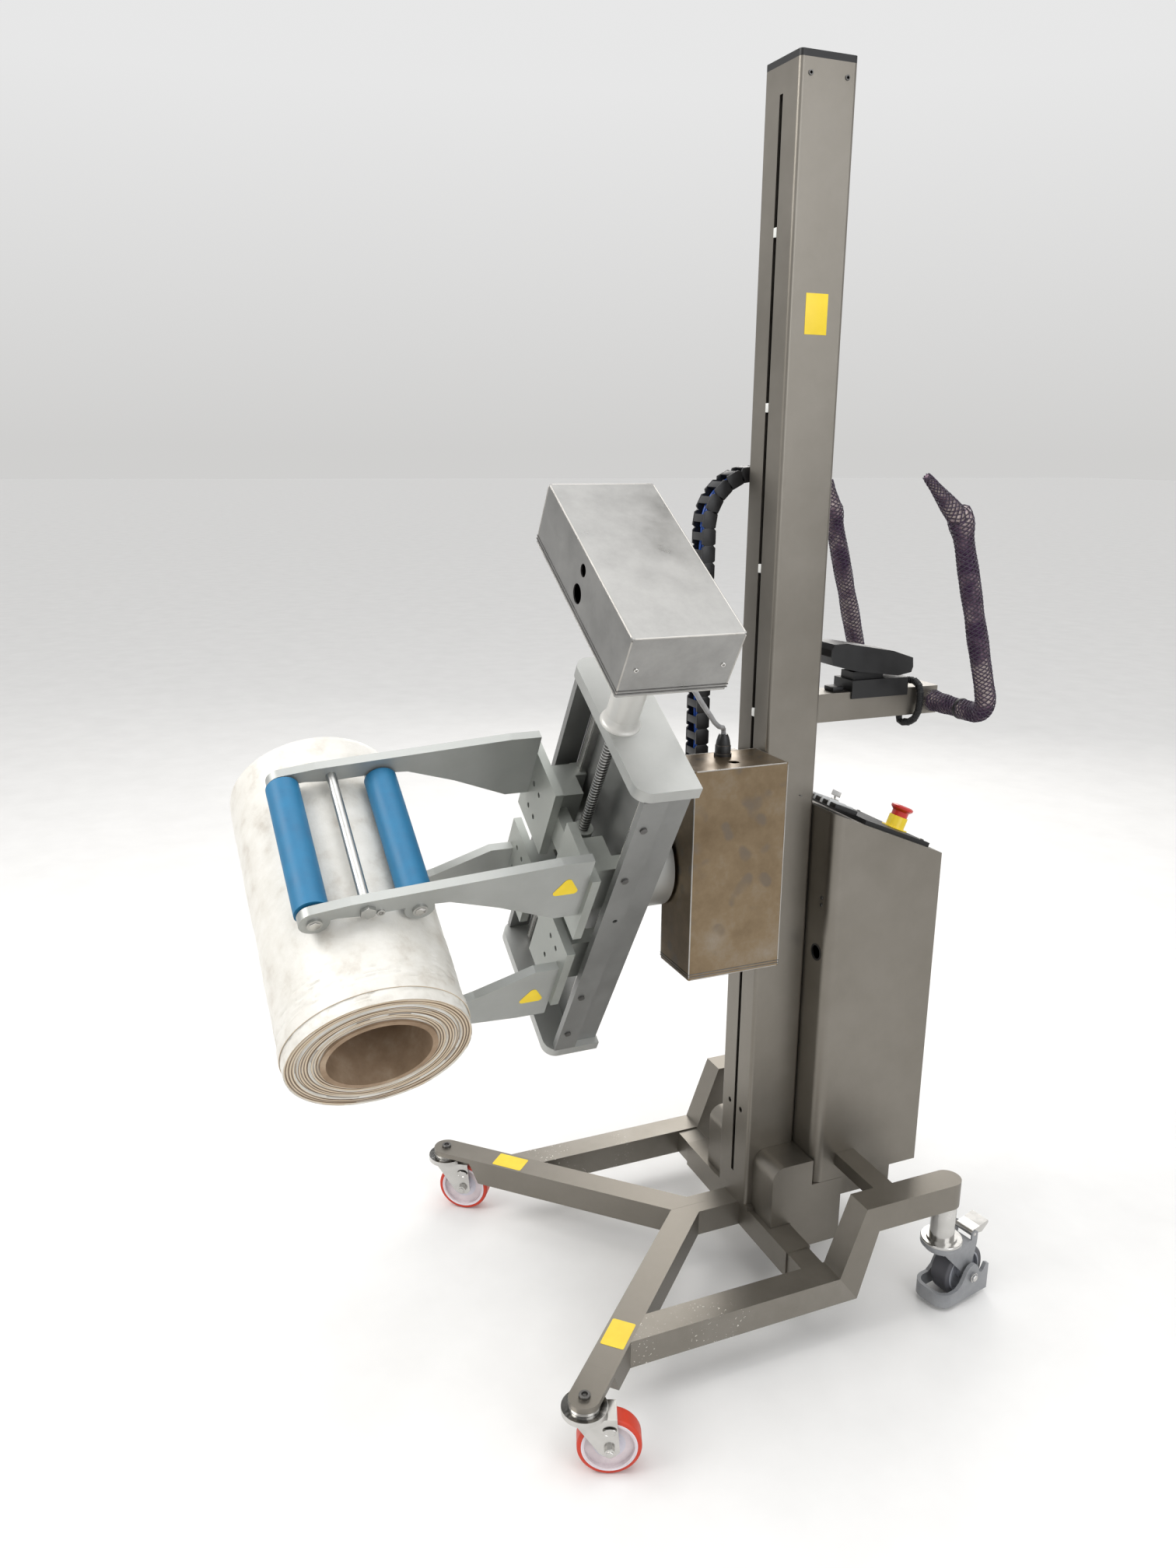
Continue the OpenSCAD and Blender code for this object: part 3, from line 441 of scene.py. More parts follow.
def block(mtx, a, b):
    """Box from corner a to corner b in mm, in mtx's frame."""
    x = [(i, j, k) for i in (a[0], b[0]) for j in (a[1], b[1]) for k in (a[2], b[2])]
    v = [mtx @ (Vector(p) / 1000) for p in x]
    return v, [(0, 1, 3, 2), (4, 6, 7, 5), (0, 4, 5, 1), (2, 3, 7, 6), (0, 2, 6, 4), (1, 5, 7, 3)]


def lathe(mtx, profile, n=40, closed=False):
    """(r, z) pairs in mm, turned about mtx's Z."""
    v, f = [], []
    m = len(profile)
    for r, z in profile:
        for i in range(n):
            t = 2 * math.pi * i / n
            v.append(mtx @ (Vector((r * math.cos(t), r * math.sin(t), z)) / 1000))
    for k in range(m if closed else m - 1):
        for i in range(n):
            j = (i + 1) % n
            k2 = (k + 1) % m
            f.append((k * n + i, k * n + j, k2 * n + j, k2 * n + i))
    if not closed:
        f.append(tuple(range(n - 1, -1, -1)))
        f.append(tuple((m - 1) * n + i for i in range(n)))
    return v, f


def aim(mtx, p, z, x=None):
    """Frame at p (mm, in mtx's frame) whose Z points along z."""
    q = Vector(z).normalized()
    r = Vector(x) if x else (Vector((0, 0, 1)) if abs(q.z) < 0.9 else Vector((1, 0, 0)))
    ex = (r - q * r.dot(q)).normalized()
    return mtx @ frame_at(Vector(p) / 1000, ex, q.cross(ex), q)


def tube(points, r, n=8):
    """Round tube along points; r is one radius or one per point, in metres."""
    v, f = [], []
    up = Vector((0.3, 0.1, 1)).normalized()
    last = None
    for i, p in enumerate(points):
        t = (points[min(i + 1, len(points) - 1)] - points[max(i - 1, 0)]).normalized()
        a = (t.cross(up) if last is None else last - t * last.dot(t)).normalized()
        last = a
        b = t.cross(a)
        rr = r[i] if hasattr(r, "__len__") else r
        for j in range(n):
            w = 2 * math.pi * j / n
            v.append(p + (a * math.cos(w) + b * math.sin(w)) * rr)
    for k in range(len(points) - 1):
        for j in range(n):
            q = (j + 1) % n
            f.append((k * n + j, k * n + q, (k + 1) * n + q, (k + 1) * n + j))
    f.append(tuple(range(n - 1, -1, -1)))
    f.append(tuple((len(points) - 1) * n + j for j in range(n)))
    return v, f


def prism_faces(n):
    """Faces between two n-sided outlines, the second listed after the first."""
    ends = [tuple(range(n - 1, -1, -1)), tuple(range(n, 2 * n))]
    return ends + [(i, (i + 1) % n, n + (i + 1) % n, n + i) for i in range(n)]


def hexbolt(mtx, p, axis, r=6.5, h=4.5, washer=8.5):
    """Hexagon head with a chamfer on a washer."""
    m = aim(mtx, p, axis)
    w = lathe(m, [(washer, 0), (washer, 1.0), (washer - 0.6, 1.4)], 28)
    hx = lathe(m, [(r, 1.3), (r, h - 0.6), (r * 0.86, h)], 6)
    return joined([w, hx])


def socket(mtx, p, axis, r=6, h=3.5):
    """Socket head with its hexagon recess."""
    m = aim(mtx, p, axis)
    v, f = lathe(m, [(r, 0), (r, h - 0.5), (r - 0.5, h), (r * 0.55, h)], 24)
    f.pop()  # open the top for the recess
    n = len(v)
    corners = [(r * 0.5 * math.cos(k * math.pi / 3), r * 0.5 * math.sin(k * math.pi / 3)) for k in range(6)]
    v += [m @ (Vector((x, y, z)) / 1000) for z in (h, h - 2) for x, y in corners]
    f += [(n + k, n + (k + 1) % 6, n + 6 + (k + 1) % 6, n + 6 + k) for k in range(6)]
    f.append(tuple(n + 6 + k for k in range(6)))
    return v, f


# ---------- film roll: wrinkled surface ----------
def hash_noise(x, y, z):
    """Smooth noise at a point, about -1 to 1."""
    return noise.noise(Vector((x, y, z)))


def film_roll():
    RM = HEAD @ frame_at(ROLL_MID, Vector((0, 1, 0)), Vector((0, 0, 1)), Vector((1, 0, 0)))
    R, a0, a1 = 136.0, -228.0, 272.0  # radius and the two ends along the axis, in mm
    r_edge, r_bore = 134.2, 84.2      # the end faces' outer and inner radius
    gaps = (9, 10, 19)                # rings of the end faces that stand back
    rows = []
    nz, nt = 170, 260                 # rows along the roll and points round it
    for k in range(nz + 1):
        z = a0 + (a1 - a0) * k / nz
        ring = []
        for i in range(nt):
            t = 2 * math.pi * i / nt
            c, s = math.cos(t), math.sin(t)
            w = hash_noise(z * 0.012, c * 2.2, s * 2.2) * 1.1 + hash_noise(z * 0.05 + 9, c * 5, s * 5) * 0.55
            # long creases drawn round the roll at a slight slant, as pulled film leaves them
            cr = hash_noise(z * 0.09 + 2.2 * c, c * 1.4 + 5, s * 1.4)
            w += 0.9 * max(0.0, 0.25 - abs(cr)) * 4 * 0.4
            if z > 150:
                fold = hash_noise(z * 0.16 + 1.5 * s, c * 3.0 + 2, s * 3.0)
                w -= 1.5 * max(0.0, 0.16 - abs(fold)) / 0.16 * min(1.0, (z - 150) / 60)
            band = 1.0 if 238 < z < 252 else 0.0
            edge = min(1.0, min(z - a0, a1 - z) / 6.0)
            rr = R - 1.35 + w * (0.35 + 0.65 * edge) * (0.3 if band else 1) - 0.9 * (1 - edge) + 0.5 * band
            ring.append((min(rr, R + 0.8), t, z))
        rows.append(ring)
    v, f = [], []
    for ring in rows:
        for rr, t, z in ring:
            v.append(RM @ (Vector((rr * math.cos(t), rr * math.sin(t), z)) / 1000))
    for k in range(nz):
        for i in range(nt):
            j = (i + 1) % nt
            f.append((k * nt + i, k * nt + j, (k + 1) * nt + j, (k + 1) * nt + i))
    # end faces stepped in rings, layers standing slightly proud of each other
    for end, z0, sgn in ((nz, a1, 1), (0, a0, -1)):
        prev = [end * nt + i for i in range(nt)]
        steps = 26
        for q in range(1, steps + 1):
            r = r_edge - (r_edge - r_bore) * q / steps
            layer = 3.6 * max(0.0, hash_noise(q * 0.83, sgn * 3.0, 1.0))
            dz = sgn * (-1.2 - layer - (2.6 if q in gaps else 0))
            cur = []
            for i in range(nt):
                t = 2 * math.pi * i / nt
                d = dz + sgn * 0.9 * (hash_noise(math.cos(t) * 2.2, math.sin(t) * 2.2, q * 0.7) - 0.4)
                cur.append(len(v))
                v.append(RM @ (Vector((r * math.cos(t), r * math.sin(t), z0 + d)) / 1000))
            for i in range(nt):
                j = (i + 1) % nt
                q4 = (prev[i], prev[j], cur[j], cur[i])
                f.append(q4 if sgn > 0 else (q4[1], q4[0], q4[3], q4[2]))
            prev = cur
        if sgn > 0:
            bore_a = prev
        else:
            bore_b = prev
    for i in range(nt):
        j = (i + 1) % nt
        f.append((bore_a[i], bore_a[j], bore_b[j], bore_b[i]))
    o = piece("film_roll_wound", v, f, FILM, "film_roll")
    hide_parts("film_roll")
    # turned-back lip of the outer layer near the near end
    prof = [(135.4, 236), (136.6, 236.4), (136.9, 243), (136.9, 250), (136.5, 252.6), (135.4, 253)]
    lip = lathe(RM, prof, 120, closed=True)
    o = piece("film_roll_band", *lip, FILM, "film_roll")


film_roll()


# ---------- braided grip sleeves ----------
def sleeve_path(s):
    """Centre line and outer radius (mm) of one sleeve, in the grip's frame."""
    pts = []
    for k in range(12):
        x = 38 + (140 - 38) * k / 11
        r = 17.6 - (1.0 if 4 < k < 8 else 0)
        if k == 0:
            r = 19.5
        if k == 1:
            r = 18.3
        pts.append((Vector((s * x, 0, 0)), r))
    for k in range(1, 9):
        t = math.pi / 2 * k / 9
        pts.append((Vector((s * (140 + 40 * math.sin(t)), 0, 40 - 40 * math.cos(t))), 17.4))
    for k in range(22):
        z = 40 + (312 - 40) * k / 21
        pts.append((Vector((s * 180, 0, z)), 17.2 + 0.6 * math.sin(z * 0.06)))
    for z, r in ((320, 18.8), (328, 20.6), (338, 21.3), (346, 20.6)):
        pts.append((Vector((s * 180, -0.4 * (z - 320) * 0.1, z)), r))
    if s > 0:
        d = Vector((0, -math.sin(math.radians(31)), math.cos(math.radians(31))))
        tail = ((14, 18.4), (24, 16.6), (36, 15.4), (50, 13.2), (64, 11.2), (78, 9.6), (92, 8.2), (103, 6.6))
    else:
        d = Vector((0, math.sin(math.radians(4)), math.cos(math.radians(4))))
        tail = ((20, 16.0), (30, 13.0), (40, 10.5), (50, 9.4), (56, 8.2))
    for t, r in tail:
        pts.append((Vector((s * 180, 0, 336)) + d * t, r))
    return pts


def sleeves():
    for s, nm in ((1, "near"), (-1, "far")):
        path = sleeve_path(s)
        # resample finely along the length
        fine = []
        for (p, r), (q, w) in zip(path, path[1:]):
            n = max(1, int((q - p).length / 2.6))
            for i in range(n):
                fine.append((p.lerp(q, i / n), r + (w - r) * i / n))
        fine.append(path[-1])
        # smoothed centre frames
        n = len(fine)
        dist = [0.0]
        for i in range(1, n):
            dist.append(dist[-1] + (fine[i][0] - fine[i - 1][0]).length)
        frames = []
        last = Vector((0, 1, 0))
        for i in range(n):
            t = (fine[min(i + 2, n - 1)][0] - fine[max(i - 2, 0)][0]).normalized()
            a = (last - t * last.dot(t)).normalized()
            last = a
            frames.append((a, t.cross(a)))
        inner = tube([GRIP @ (p / 1000) for p, r in fine], [(max(r - 3.0, 3.4)) / 1000 for p, r in fine], 20)
        o = piece(f"sleeve_liner_{nm}", *inner, MESH_CORE, "root")
        strands = []
        count = 8
        for way in (1, -1):
            for k in range(count):
                pts = []
                for i in range(n):
                    p, r = fine[i]
                    a, b = frames[i]
                    w = way * dist[i] / 9.6 + 2 * math.pi * k / count
                    wob = 0.5 * math.sin(3 * w + k) + 0.3 * way
                    out = (a * math.cos(w) + b * math.sin(w)) * (r - 1.1 + wob * 0.6)
                    pts.append(GRIP @ ((p + out) / 1000))
                strands.append(tube(pts, 0.0010, 5))
        v, f = joined(strands)
        o2 = piece(f"sleeve_braid_{nm}", v, f, MESH, "root")
        if s > 0:
            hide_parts("grip_sleeves")
        # frayed ends at the open mouth, and a tie before the bend
        fray = []
        for k in range(30):
            t = 2 * math.pi * k / 30
            base = Vector((s * 39, 18.6 * math.cos(t), 18.6 * math.sin(t)))
            out = Vector((-s * random.uniform(4, 9), random.uniform(0, 2.4) * math.cos(t),
                          random.uniform(0, 2.4) * math.sin(t)))
            tip = base + out + Vector((0, random.uniform(-1, 1), random.uniform(-1, 1)))
            hair = [GRIP @ (q / 1000) for q in (base, base + out * 0.5, tip)]
            fray.append(tube(hair, [0.0008, 0.0007, 0.0003], 4))
        o3 = piece(f"sleeve_fray_{nm}", *joined(fray), MESH, "root")
        prof = [(17.2, -3), (18.2, -2.4), (18.6, 0), (18.2, 2.4), (17.2, 3)]
        tie = lathe(aim(GRIP, (s * 112, 0, 0), (s, 0, 0)), prof, 40, closed=True)
        o4 = piece(f"sleeve_tie_{nm}", *tie, BLACK, "root")


def core_mat():
    a = Mat("sleeve_inner_painted_highlights")
    a.set(Roughness=0.8)
    # dark purple liner; its pale patches are painted highlights seen through the braid
    a.link(a.ramp(a.noise(14, 3), [(0.42, (0.05, 0.018, 0.06)), (0.5, (0.2, 0.13, 0.17)),
                                   (0.58, (0.5, 0.42, 0.4))]), a.p.inputs["Base Color"])
    a.bump(a.noise(1500, 2), 0.3, 0.0005)
    return a.m


MESH_CORE = core_mat()
sleeves()


# ---------- energy chain: separate links with cables inside ----------
CHAIN_X, BEND_Y, BEND_Z, BEND_R = -82, 25.0, 1381.0, 87.5  # middle of the loop and its radius, in mm
PITCH = 27.5
CABLES = ((-8, 3.2), (0, 2.6), (7.5, 3.4))  # offset across the chain and radius


def chain_link(pos, out, along):
    """One link. out points away from the loop's centre, along is its travel; 40 mm wide along X."""
    ex = Vector((1, 0, 0))
    m = frame_at(pos, ex, out, along)
    parts = []
    L, W, Hh = 27.0, 19.6, 12.4  # length, half width and half height
    for x in (-W, W - 4):
        # side plate with a waisted outline
        pts = [(-L / 2 + 1, -Hh), (L / 2 - 4, -Hh), (L / 2, -Hh + 4), (L / 2, Hh - 4),
               (L / 2 - 4, Hh), (-L / 2 + 1, Hh), (-L / 2 - 2, Hh - 5), (-L / 2 - 2, -Hh + 5)]
        v = [m @ (Vector((xx, y, z)) / 1000) for xx in (x, x + 4) for z, y in pts]
        n = len(pts)
        parts.append((v, prism_faces(n)))
    for y0, y1 in ((Hh - 2.4, Hh), (-Hh, -Hh + 2.4)):
        parts.append(block(m, (-W + 4, y0, -6.5), (W - 4, y1, 6.5)))
    return parts


def chain():
    x, yc, zt, R = CHAIN_X, BEND_Y, BEND_Z, BEND_R

    # fixed outer strand (goes down on the +Y side) and moving inner strand (-Y side)
    def strand(y, z0, z1, name, body, out):
        parts = []
        n = int((z1 - z0) / PITCH)
        step = (z1 - z0) / n
        for k in range(n):
            parts += chain_link(M(x, y, z0 + step * (k + 0.5)), Vector((0, out, 0)), Vector((0, 0, 1)))
        o = piece(name, *joined(parts), BLACK_CHAIN, body, smooth=True, bevel=0.0005)
        cab = []
        for dx, rr in CABLES:
            pts = [M(x + dx, y + 1.5 * math.sin(k * 0.9 + dx), z0 + (z1 - z0) * k / 24) for k in range(25)]
            cab.append(tube(pts, rr / 1000, 10))
        c = piece(name + "_cables", *joined(cab), BLUE_CABLE, body)
        return o

    inner, outer = yc - R, yc + R        # the two strands' Y
    low_moving, low_fixed = 950, 1150    # where they end
    top = zt + (zt - low_moving)
    between = ("root", "carriage", M(x, inner, top), M(x, inner, low_moving))
    mv = strand(inner, low_moving + 2, zt, "chain_links_moving", between, -1)
    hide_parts("chain_strand_moving")
    between = ("root", "chain_loop", M(x, outer, low_fixed), M(x, outer, zt))
    fx = strand(outer, low_fixed + 2, zt, "chain_links_fixed", between, 1)
    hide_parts("chain_strand_fixed")
    parts = []
    n = 10
    for k in range(n):
        t = math.pi * (k + 0.5) / n
        out = Vector((0, -math.cos(t), math.sin(t)))
        along = Vector((0, math.sin(t), math.cos(t)))
        parts += chain_link(M(x, yc, zt) + out * R / 1000, out, along)
    o = piece("chain_links_bend", *joined(parts), BLACK_CHAIN, "chain_loop", bevel=0.0005)
    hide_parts("chain_loop")
    cab = []
    for dx, rr in CABLES:
        pts = [M(x + dx, yc - R * math.cos(math.pi * k / 30), zt + R * math.sin(math.pi * k / 30))
               for k in range(31)]
        cab.append(tube(pts, rr / 1000, 10))
    c = piece("chain_cables_bend", *joined(cab), BLUE_CABLE, "chain_loop")


BLACK_CHAIN = plastic("chain_plastic", (0.005, 0.005, 0.006), (0.011, 0.011, 0.012), (0.34, 0.46), 900, 0.1)
chain()


# ---------- head detail ----------
def head_detail():
    # lead screw thread
    pts = []
    length, start, y_screw, r_thread, pitch = 718, -334, -338, 7.7, 6.0  # mm
    turns = length / pitch
    n = int(turns * 12)
    for i in range(n + 1):
        t = 2 * math.pi * turns * i / n
        z = start + length * i / n
        pts.append(HEAD @ (Vector((r_thread * math.cos(t), y_screw + r_thread * math.sin(t), z)) / 1000))
    o = piece("lead_screw_thread", *tube(pts, 0.0012, 5), ROD, "lead_screw")
    # pale profile caps of the rails
    parts = []
    for s in (-1, 1):
        for d in (-5.2, 5.2):
            parts.append(block(HEAD, (s * 100 + d - 0.9, -319.4, -318), (s * 100 + d + 0.9, -317.8, 318)))
    o = piece("rail_edges", *joined(parts), POLISHED, "head", bevel=0.0003)
    # the post's foot flares out on the end plate
    m = aim(HEAD, (0, -333, 0), (0, 0, 1))
    prof = [(31, 345), (30.6, 346.4), (28.2, 347.6), (26.6, 350), (25.7, 354), (25.2, 362), (24.4, 362),
            (24.4, 345)]
    o = piece("post_foot", *lathe(m, prof, 64, closed=True), POST, "head")
    # folded lip under the motor box, and its screws
    parts = []
    (x0, y0), (x1, y1) = (-210, -430), (122, -270)
    g = 0.7
    for z0, z1 in ((519.5, 521.0), (524.5, 526.0)):
        parts += [block(HEAD, (x0 - g, y0 - g, z0), (x1 + g, y0, z1)),
                  block(HEAD, (x0 - g, y1, z0), (x1 + g, y1 + g, z1)),
                  block(HEAD, (x0 - g, y0 - g, z0), (x0, y1 + g, z1)),
                  block(HEAD, (x1, y0 - g, z0), (x1 + g, y1 + g, z1))]
    o = piece("motor_box_lip", *joined(parts), DARK_STEEL, "head", bevel=0.0002)
    parts = []
    for y in (-412, -288):
        parts.append(socket(HEAD, (122, y, 560), (1, 0, 0), 3.4, 1.6))
        parts.append(socket(HEAD, (-210, y, 560), (-1, 0, 0), 3.4, 1.6))
    o = piece("motor_box_screws", *joined(parts), POLISHED, "head")


head_detail()


def edge_lines():
    """The two boxes' folds as thin tubes in a lighter metal than the boxes, a painted highlight along each
    fold.
    """
    def runs(mtx, a, b, r):
        out = []
        for ax in range(3):
            for i in (a, b):
                for j in (a, b):
                    k, l = [q for q in range(3) if q != ax]
                    p = [0, 0, 0]
                    p[k], p[l] = i[k], j[l]
                    s, e = list(p), list(p)
                    s[ax], e[ax] = a[ax] + 3, b[ax] - 3
                    n = 5
                    out.append(tube([mtx @ (Vector([s[q] + (e[q] - s[q]) * w / n for q in range(3)]) / 1000)
                                     for w in range(n + 1)], r, 8))
        return out

    v, f = joined(runs(HEAD, (-209.1, -429.1, 515.9), (121.1, -270.9, 610.1), 0.00125))
    o = piece("motor_box_folds", v, f, FOLD_HIGHLIGHT, "head")
    v, f = joined(runs(MAST, (21.9, -175.1, 659.9), (125.1, -4.9, 1016.1), 0.00125))
    o = piece("rotator_box_folds", v, f, FOLD_HIGHLIGHT, "carriage")


# lighter than the boxes' own metal: painted highlight on the folds
FOLD_HIGHLIGHT = metal("fold_painted_highlight", (0.34, 0.325, 0.3), (0.46, 0.445, 0.42), (0.26, 0.36), 900, 40, 1.0, 0.05)
edge_lines()


def jaw_detail(nm, sgn):
    """Bolts and axle ends on the arms' outer faces, and a plain triangle plate by each flange."""
    bolts, marks = [], []
    for s in (-1, 1):
        u = ARM_U * s
        for y in (-791.6, -643.3):
            bolts.append(hexbolt(HEAD, (u, y, sgn * 143.3), (s, 0, 0), 8, 5.5, 11))
        bolts.append(socket(HEAD, (u, -700, sgn * 150), (s, 0, 0), 6, 3))
    o = piece(f"{nm}_arm_bolts", *joined(bolts), POLISHED, f"{nm}_jaw")
    # triangle plate, blank
    for s in (1, -1):
        size = 22
        c = Vector((s * (ARM_U + 0.25), -421, sgn * ARM_V))
        pts = []
        for k in range(3):
            for d in (-0.22, 0, 0.22):
                w = math.pi / 2 + k * 2 * math.pi / 3 + d
                rr = size * (0.94 if d else 1.0)
                pts.append((c.x, c.y + rr * math.cos(w), c.z + rr * math.sin(w)))
        n = len(pts)
        pts += [(x + s * 0.35, y, z) for x, y, z in pts]
        marks.append(([HEAD @ (Vector(p) / 1000) for p in pts], prism_faces(n)))
    o = piece(f"{nm}_triangle_plates", *joined(marks), LABEL, f"{nm}_jaw", smooth=False)


def head_local(node):
    """A node's box in the head's frame, in mm."""
    inv = HEAD.inverted()
    co = [inv @ v.co for v in nodes[node].data.vertices]
    return [min(c[i] for c in co) * 1000 for i in range(3)], [max(c[i] for c in co) * 1000 for i in range(3)]


ARM_U = head_local("upper_arms")[1][0]  # the arms' outer faces
ARM_V = 143                             # height of the triangle plates on them
jaw_detail("upper", 1)
jaw_detail("lower", -1)


# ---------- mast, legs, console ----------
def mast_detail():
    parts = []
    for z in (1830, 1572, 1318, 1075):
        parts.append(block(MAST, (-4.3, -0.6, z - 7), (4.3, 3.4, z + 7)))
    o = piece("slit_clips", *joined(parts), LABEL_W, "root", bevel=0.0006)
    o = piece("mast_label", *block(MAST, (50, 30, 1680), (50.5, 70, 1740)), LABEL, "root", bevel=0.0002)
    parts = []
    for s in (-1, 1):
        for y in (18, 82):
            parts.append(socket(MAST, (s * 50, y, 2040), (s, 0, 0), 4, 1.6))
    o = piece("cap_screws", *joined(parts), DARK_STEEL, "root")
    # weld beads along the mast's foot
    beads = []
    for s in (-1, 1):
        line = [MAST @ (Vector((s * 50.3, y, 130.2)) / 1000) for y in range(2, 99, 3)]
        beads.append(tube([v + Vector((0, 0, 0.0006 * (i % 2))) for i, v in enumerate(line)], 0.0016, 6))
    o = piece("mast_weld", *joined(beads), STEEL_BEAM, "root")


mast_detail()


def plate_on(mtx, c, w, h, t=0.4, ang=0.0, r=2.0):
    """Thin rounded plate lying in mtx's XY plane, centred at c, in mm."""
    pts = []
    for qx, qy, a0 in ((1, 1, 0), (-1, 1, 90), (-1, -1, 180), (1, -1, 270)):
        for k in range(5):
            a = math.radians(a0 + 22.5 * k)
            pts.append((qx * (w / 2 - r) + r * math.cos(a), qy * (h / 2 - r) + r * math.sin(a)))
    ca, sa = math.cos(ang), math.sin(ang)
    base = [(c[0] + x * ca - y * sa, c[1] + x * sa + y * ca) for x, y in pts]
    n = len(base)
    v = [mtx @ (Vector((x, y, c[2] + z)) / 1000) for z in (0, t) for x, y in base]
    return v, prism_faces(n)


def base_detail():
    # blank labels on the legs
    quads = []
    for s in (-1, 1):
        c = [(s * x, y) for x, y in ((226, -348), (255, -320), (298, -365), (271, -392))]
        cx = sum(p[0] for p in c) / 4
        cy = sum(p[1] for p in c) / 4
        ang = math.atan2(c[3][1] - c[0][1], c[3][0] - c[0][0])
        quads.append(plate_on(MAST, (cx, cy, 129.0), 62, 40, 0.35, ang, 3))
    o = piece("leg_labels", *joined(quads), LABEL, "root", smooth=False)
    # the front castors' kingpin heads
    heads = [socket(MAST, (s * FRONT_PIN[0], FRONT_PIN[1], 129.5), (0, 0, 1), 9, 4.5) for s in (-1, 1)]
    o = piece("kingpin_heads", *joined(heads), DARK_STEEL, "root")


base_detail()


def castors():
    for side, sx, af, ar in CASTORS:
        a = math.radians(af)
        top = aim(MAST, (sx * FRONT_PIN[0], FRONT_PIN[1], 0), (0, 0, 1))
        prof = [(23, 113), (35.4, 113), (36.2, 111.8), (36.2, 110.4), (35, 109.4), (23, 109.4)]
        ring = lathe(top, prof, 56, closed=True)
        o = piece(f"front_raceway_{side}", *ring, POLISHED, f"front_swivel_{side}")
        ax = Vector((-math.sin(a), math.cos(a), 0))
        wc = axle(sx, FRONT_PIN, FRONT_TRAIL, a)
        parts = []
        for sg in (-1, 1):
            p = Vector(wc) + ax * (sg * 27.4)
            parts.append(hexbolt(MAST, tuple(p), tuple(ax * sg), 6.2, 4, 8.2))
        # plain oval boss pressed in each cheek
        for sg in (-1, 1):
            at = Vector(wc) + ax * (sg * 24.0) + Vector((0, 0, 34))
            m = aim(MAST, tuple(at), tuple(ax * sg), (0, 0, 1))
            n = 28
            turn = [2 * math.pi * i / n for i in range(n)]
            oval = [Vector((0.62 * 11 * math.cos(t), 11 * math.sin(t), 0)) for t in turn]
            steps = ((1.0, 0), (0.93, 0.7), (0.8, 0.75), (0.74, 0.2))  # scale and height of each ring
            v = [m @ (p * k / 1000 + Vector((0, 0, z / 1000))) for k, z in steps for p in oval]
            f = [(q * n + i, q * n + (i + 1) % n, (q + 1) * n + (i + 1) % n, (q + 1) * n + i)
                 for q in range(3) for i in range(n)]
            f += [tuple(n - 1 - i for i in range(n)), tuple(3 * n + i for i in range(n))]
            parts.append((v, f))
        o = piece(f"front_axle_nuts_{side}", *joined(parts), POLISHED, f"front_swivel_{side}")
        # hub discs and a moulding line on the red tyre
        parts = []
        for sg in (-1, 1):
            m = aim(MAST, wc, tuple(ax * sg))
            hub = [(14, 14), (14, 17.2), (13, 17.8), (8.2, 17.8), (8.2, 14)]
            rim = [(40.5, 15.8), (41.5, 16.6), (43.0, 16.6), (43.6, 15.8)]
            parts += [lathe(m, hub, 40, closed=True), lathe(m, rim, 60, closed=True)]
        o = piece(f"front_hub_{side}", *joined(parts), WHITE_HUB, f"front_wheel_{side}")
        # rear castor: bright raceway and axle bolts
        a = math.radians(ar)
        ax = Vector((-math.sin(a), math.cos(a), 0))
        wc = axle(sx, REAR_PIN, REAR_TRAIL, a)
        top = aim(MAST, (sx * REAR_PIN[0], REAR_PIN[1], 0), (0, 0, 1))
        z = REAR_RING_Z
        prof = [(23, z), (36.0, z), (37.2, z - 1.2), (37.2, z - 4), (36, z - 5), (23, z - 5)]
        parts = [lathe(top, prof, 56, closed=True)]
        for sg in (-1, 1):
            p = Vector(wc) + ax * (sg * REAR_HALF)
            parts.append(hexbolt(MAST, tuple(p), tuple(ax * sg), 6.5, 4, 9))
        o = piece(f"rear_bright_parts_{side}", *joined(parts), POLISHED, f"rear_swivel_{side}")


def half_width(node, centre, ax):
    """How far a node reaches from centre along ax, in mm."""
    return max((v.co - centre).dot(ax) for v in nodes[node].data.vertices) * 1000


WHITE_HUB = plastic("pale_hub", (0.6, 0.57, 0.62), (0.74, 0.7, 0.74), (0.4, 0.55))
ar = math.radians(CASTORS[1][3])
REAR_HALF = half_width("rear_fork_right", M(*axle(1, REAR_PIN, REAR_TRAIL, ar)),
                       Vector((-math.sin(ar), math.cos(ar), 0))) - 3.0
REAR_RING_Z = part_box("rear_fork_right")[1][2] * 1000
castors()


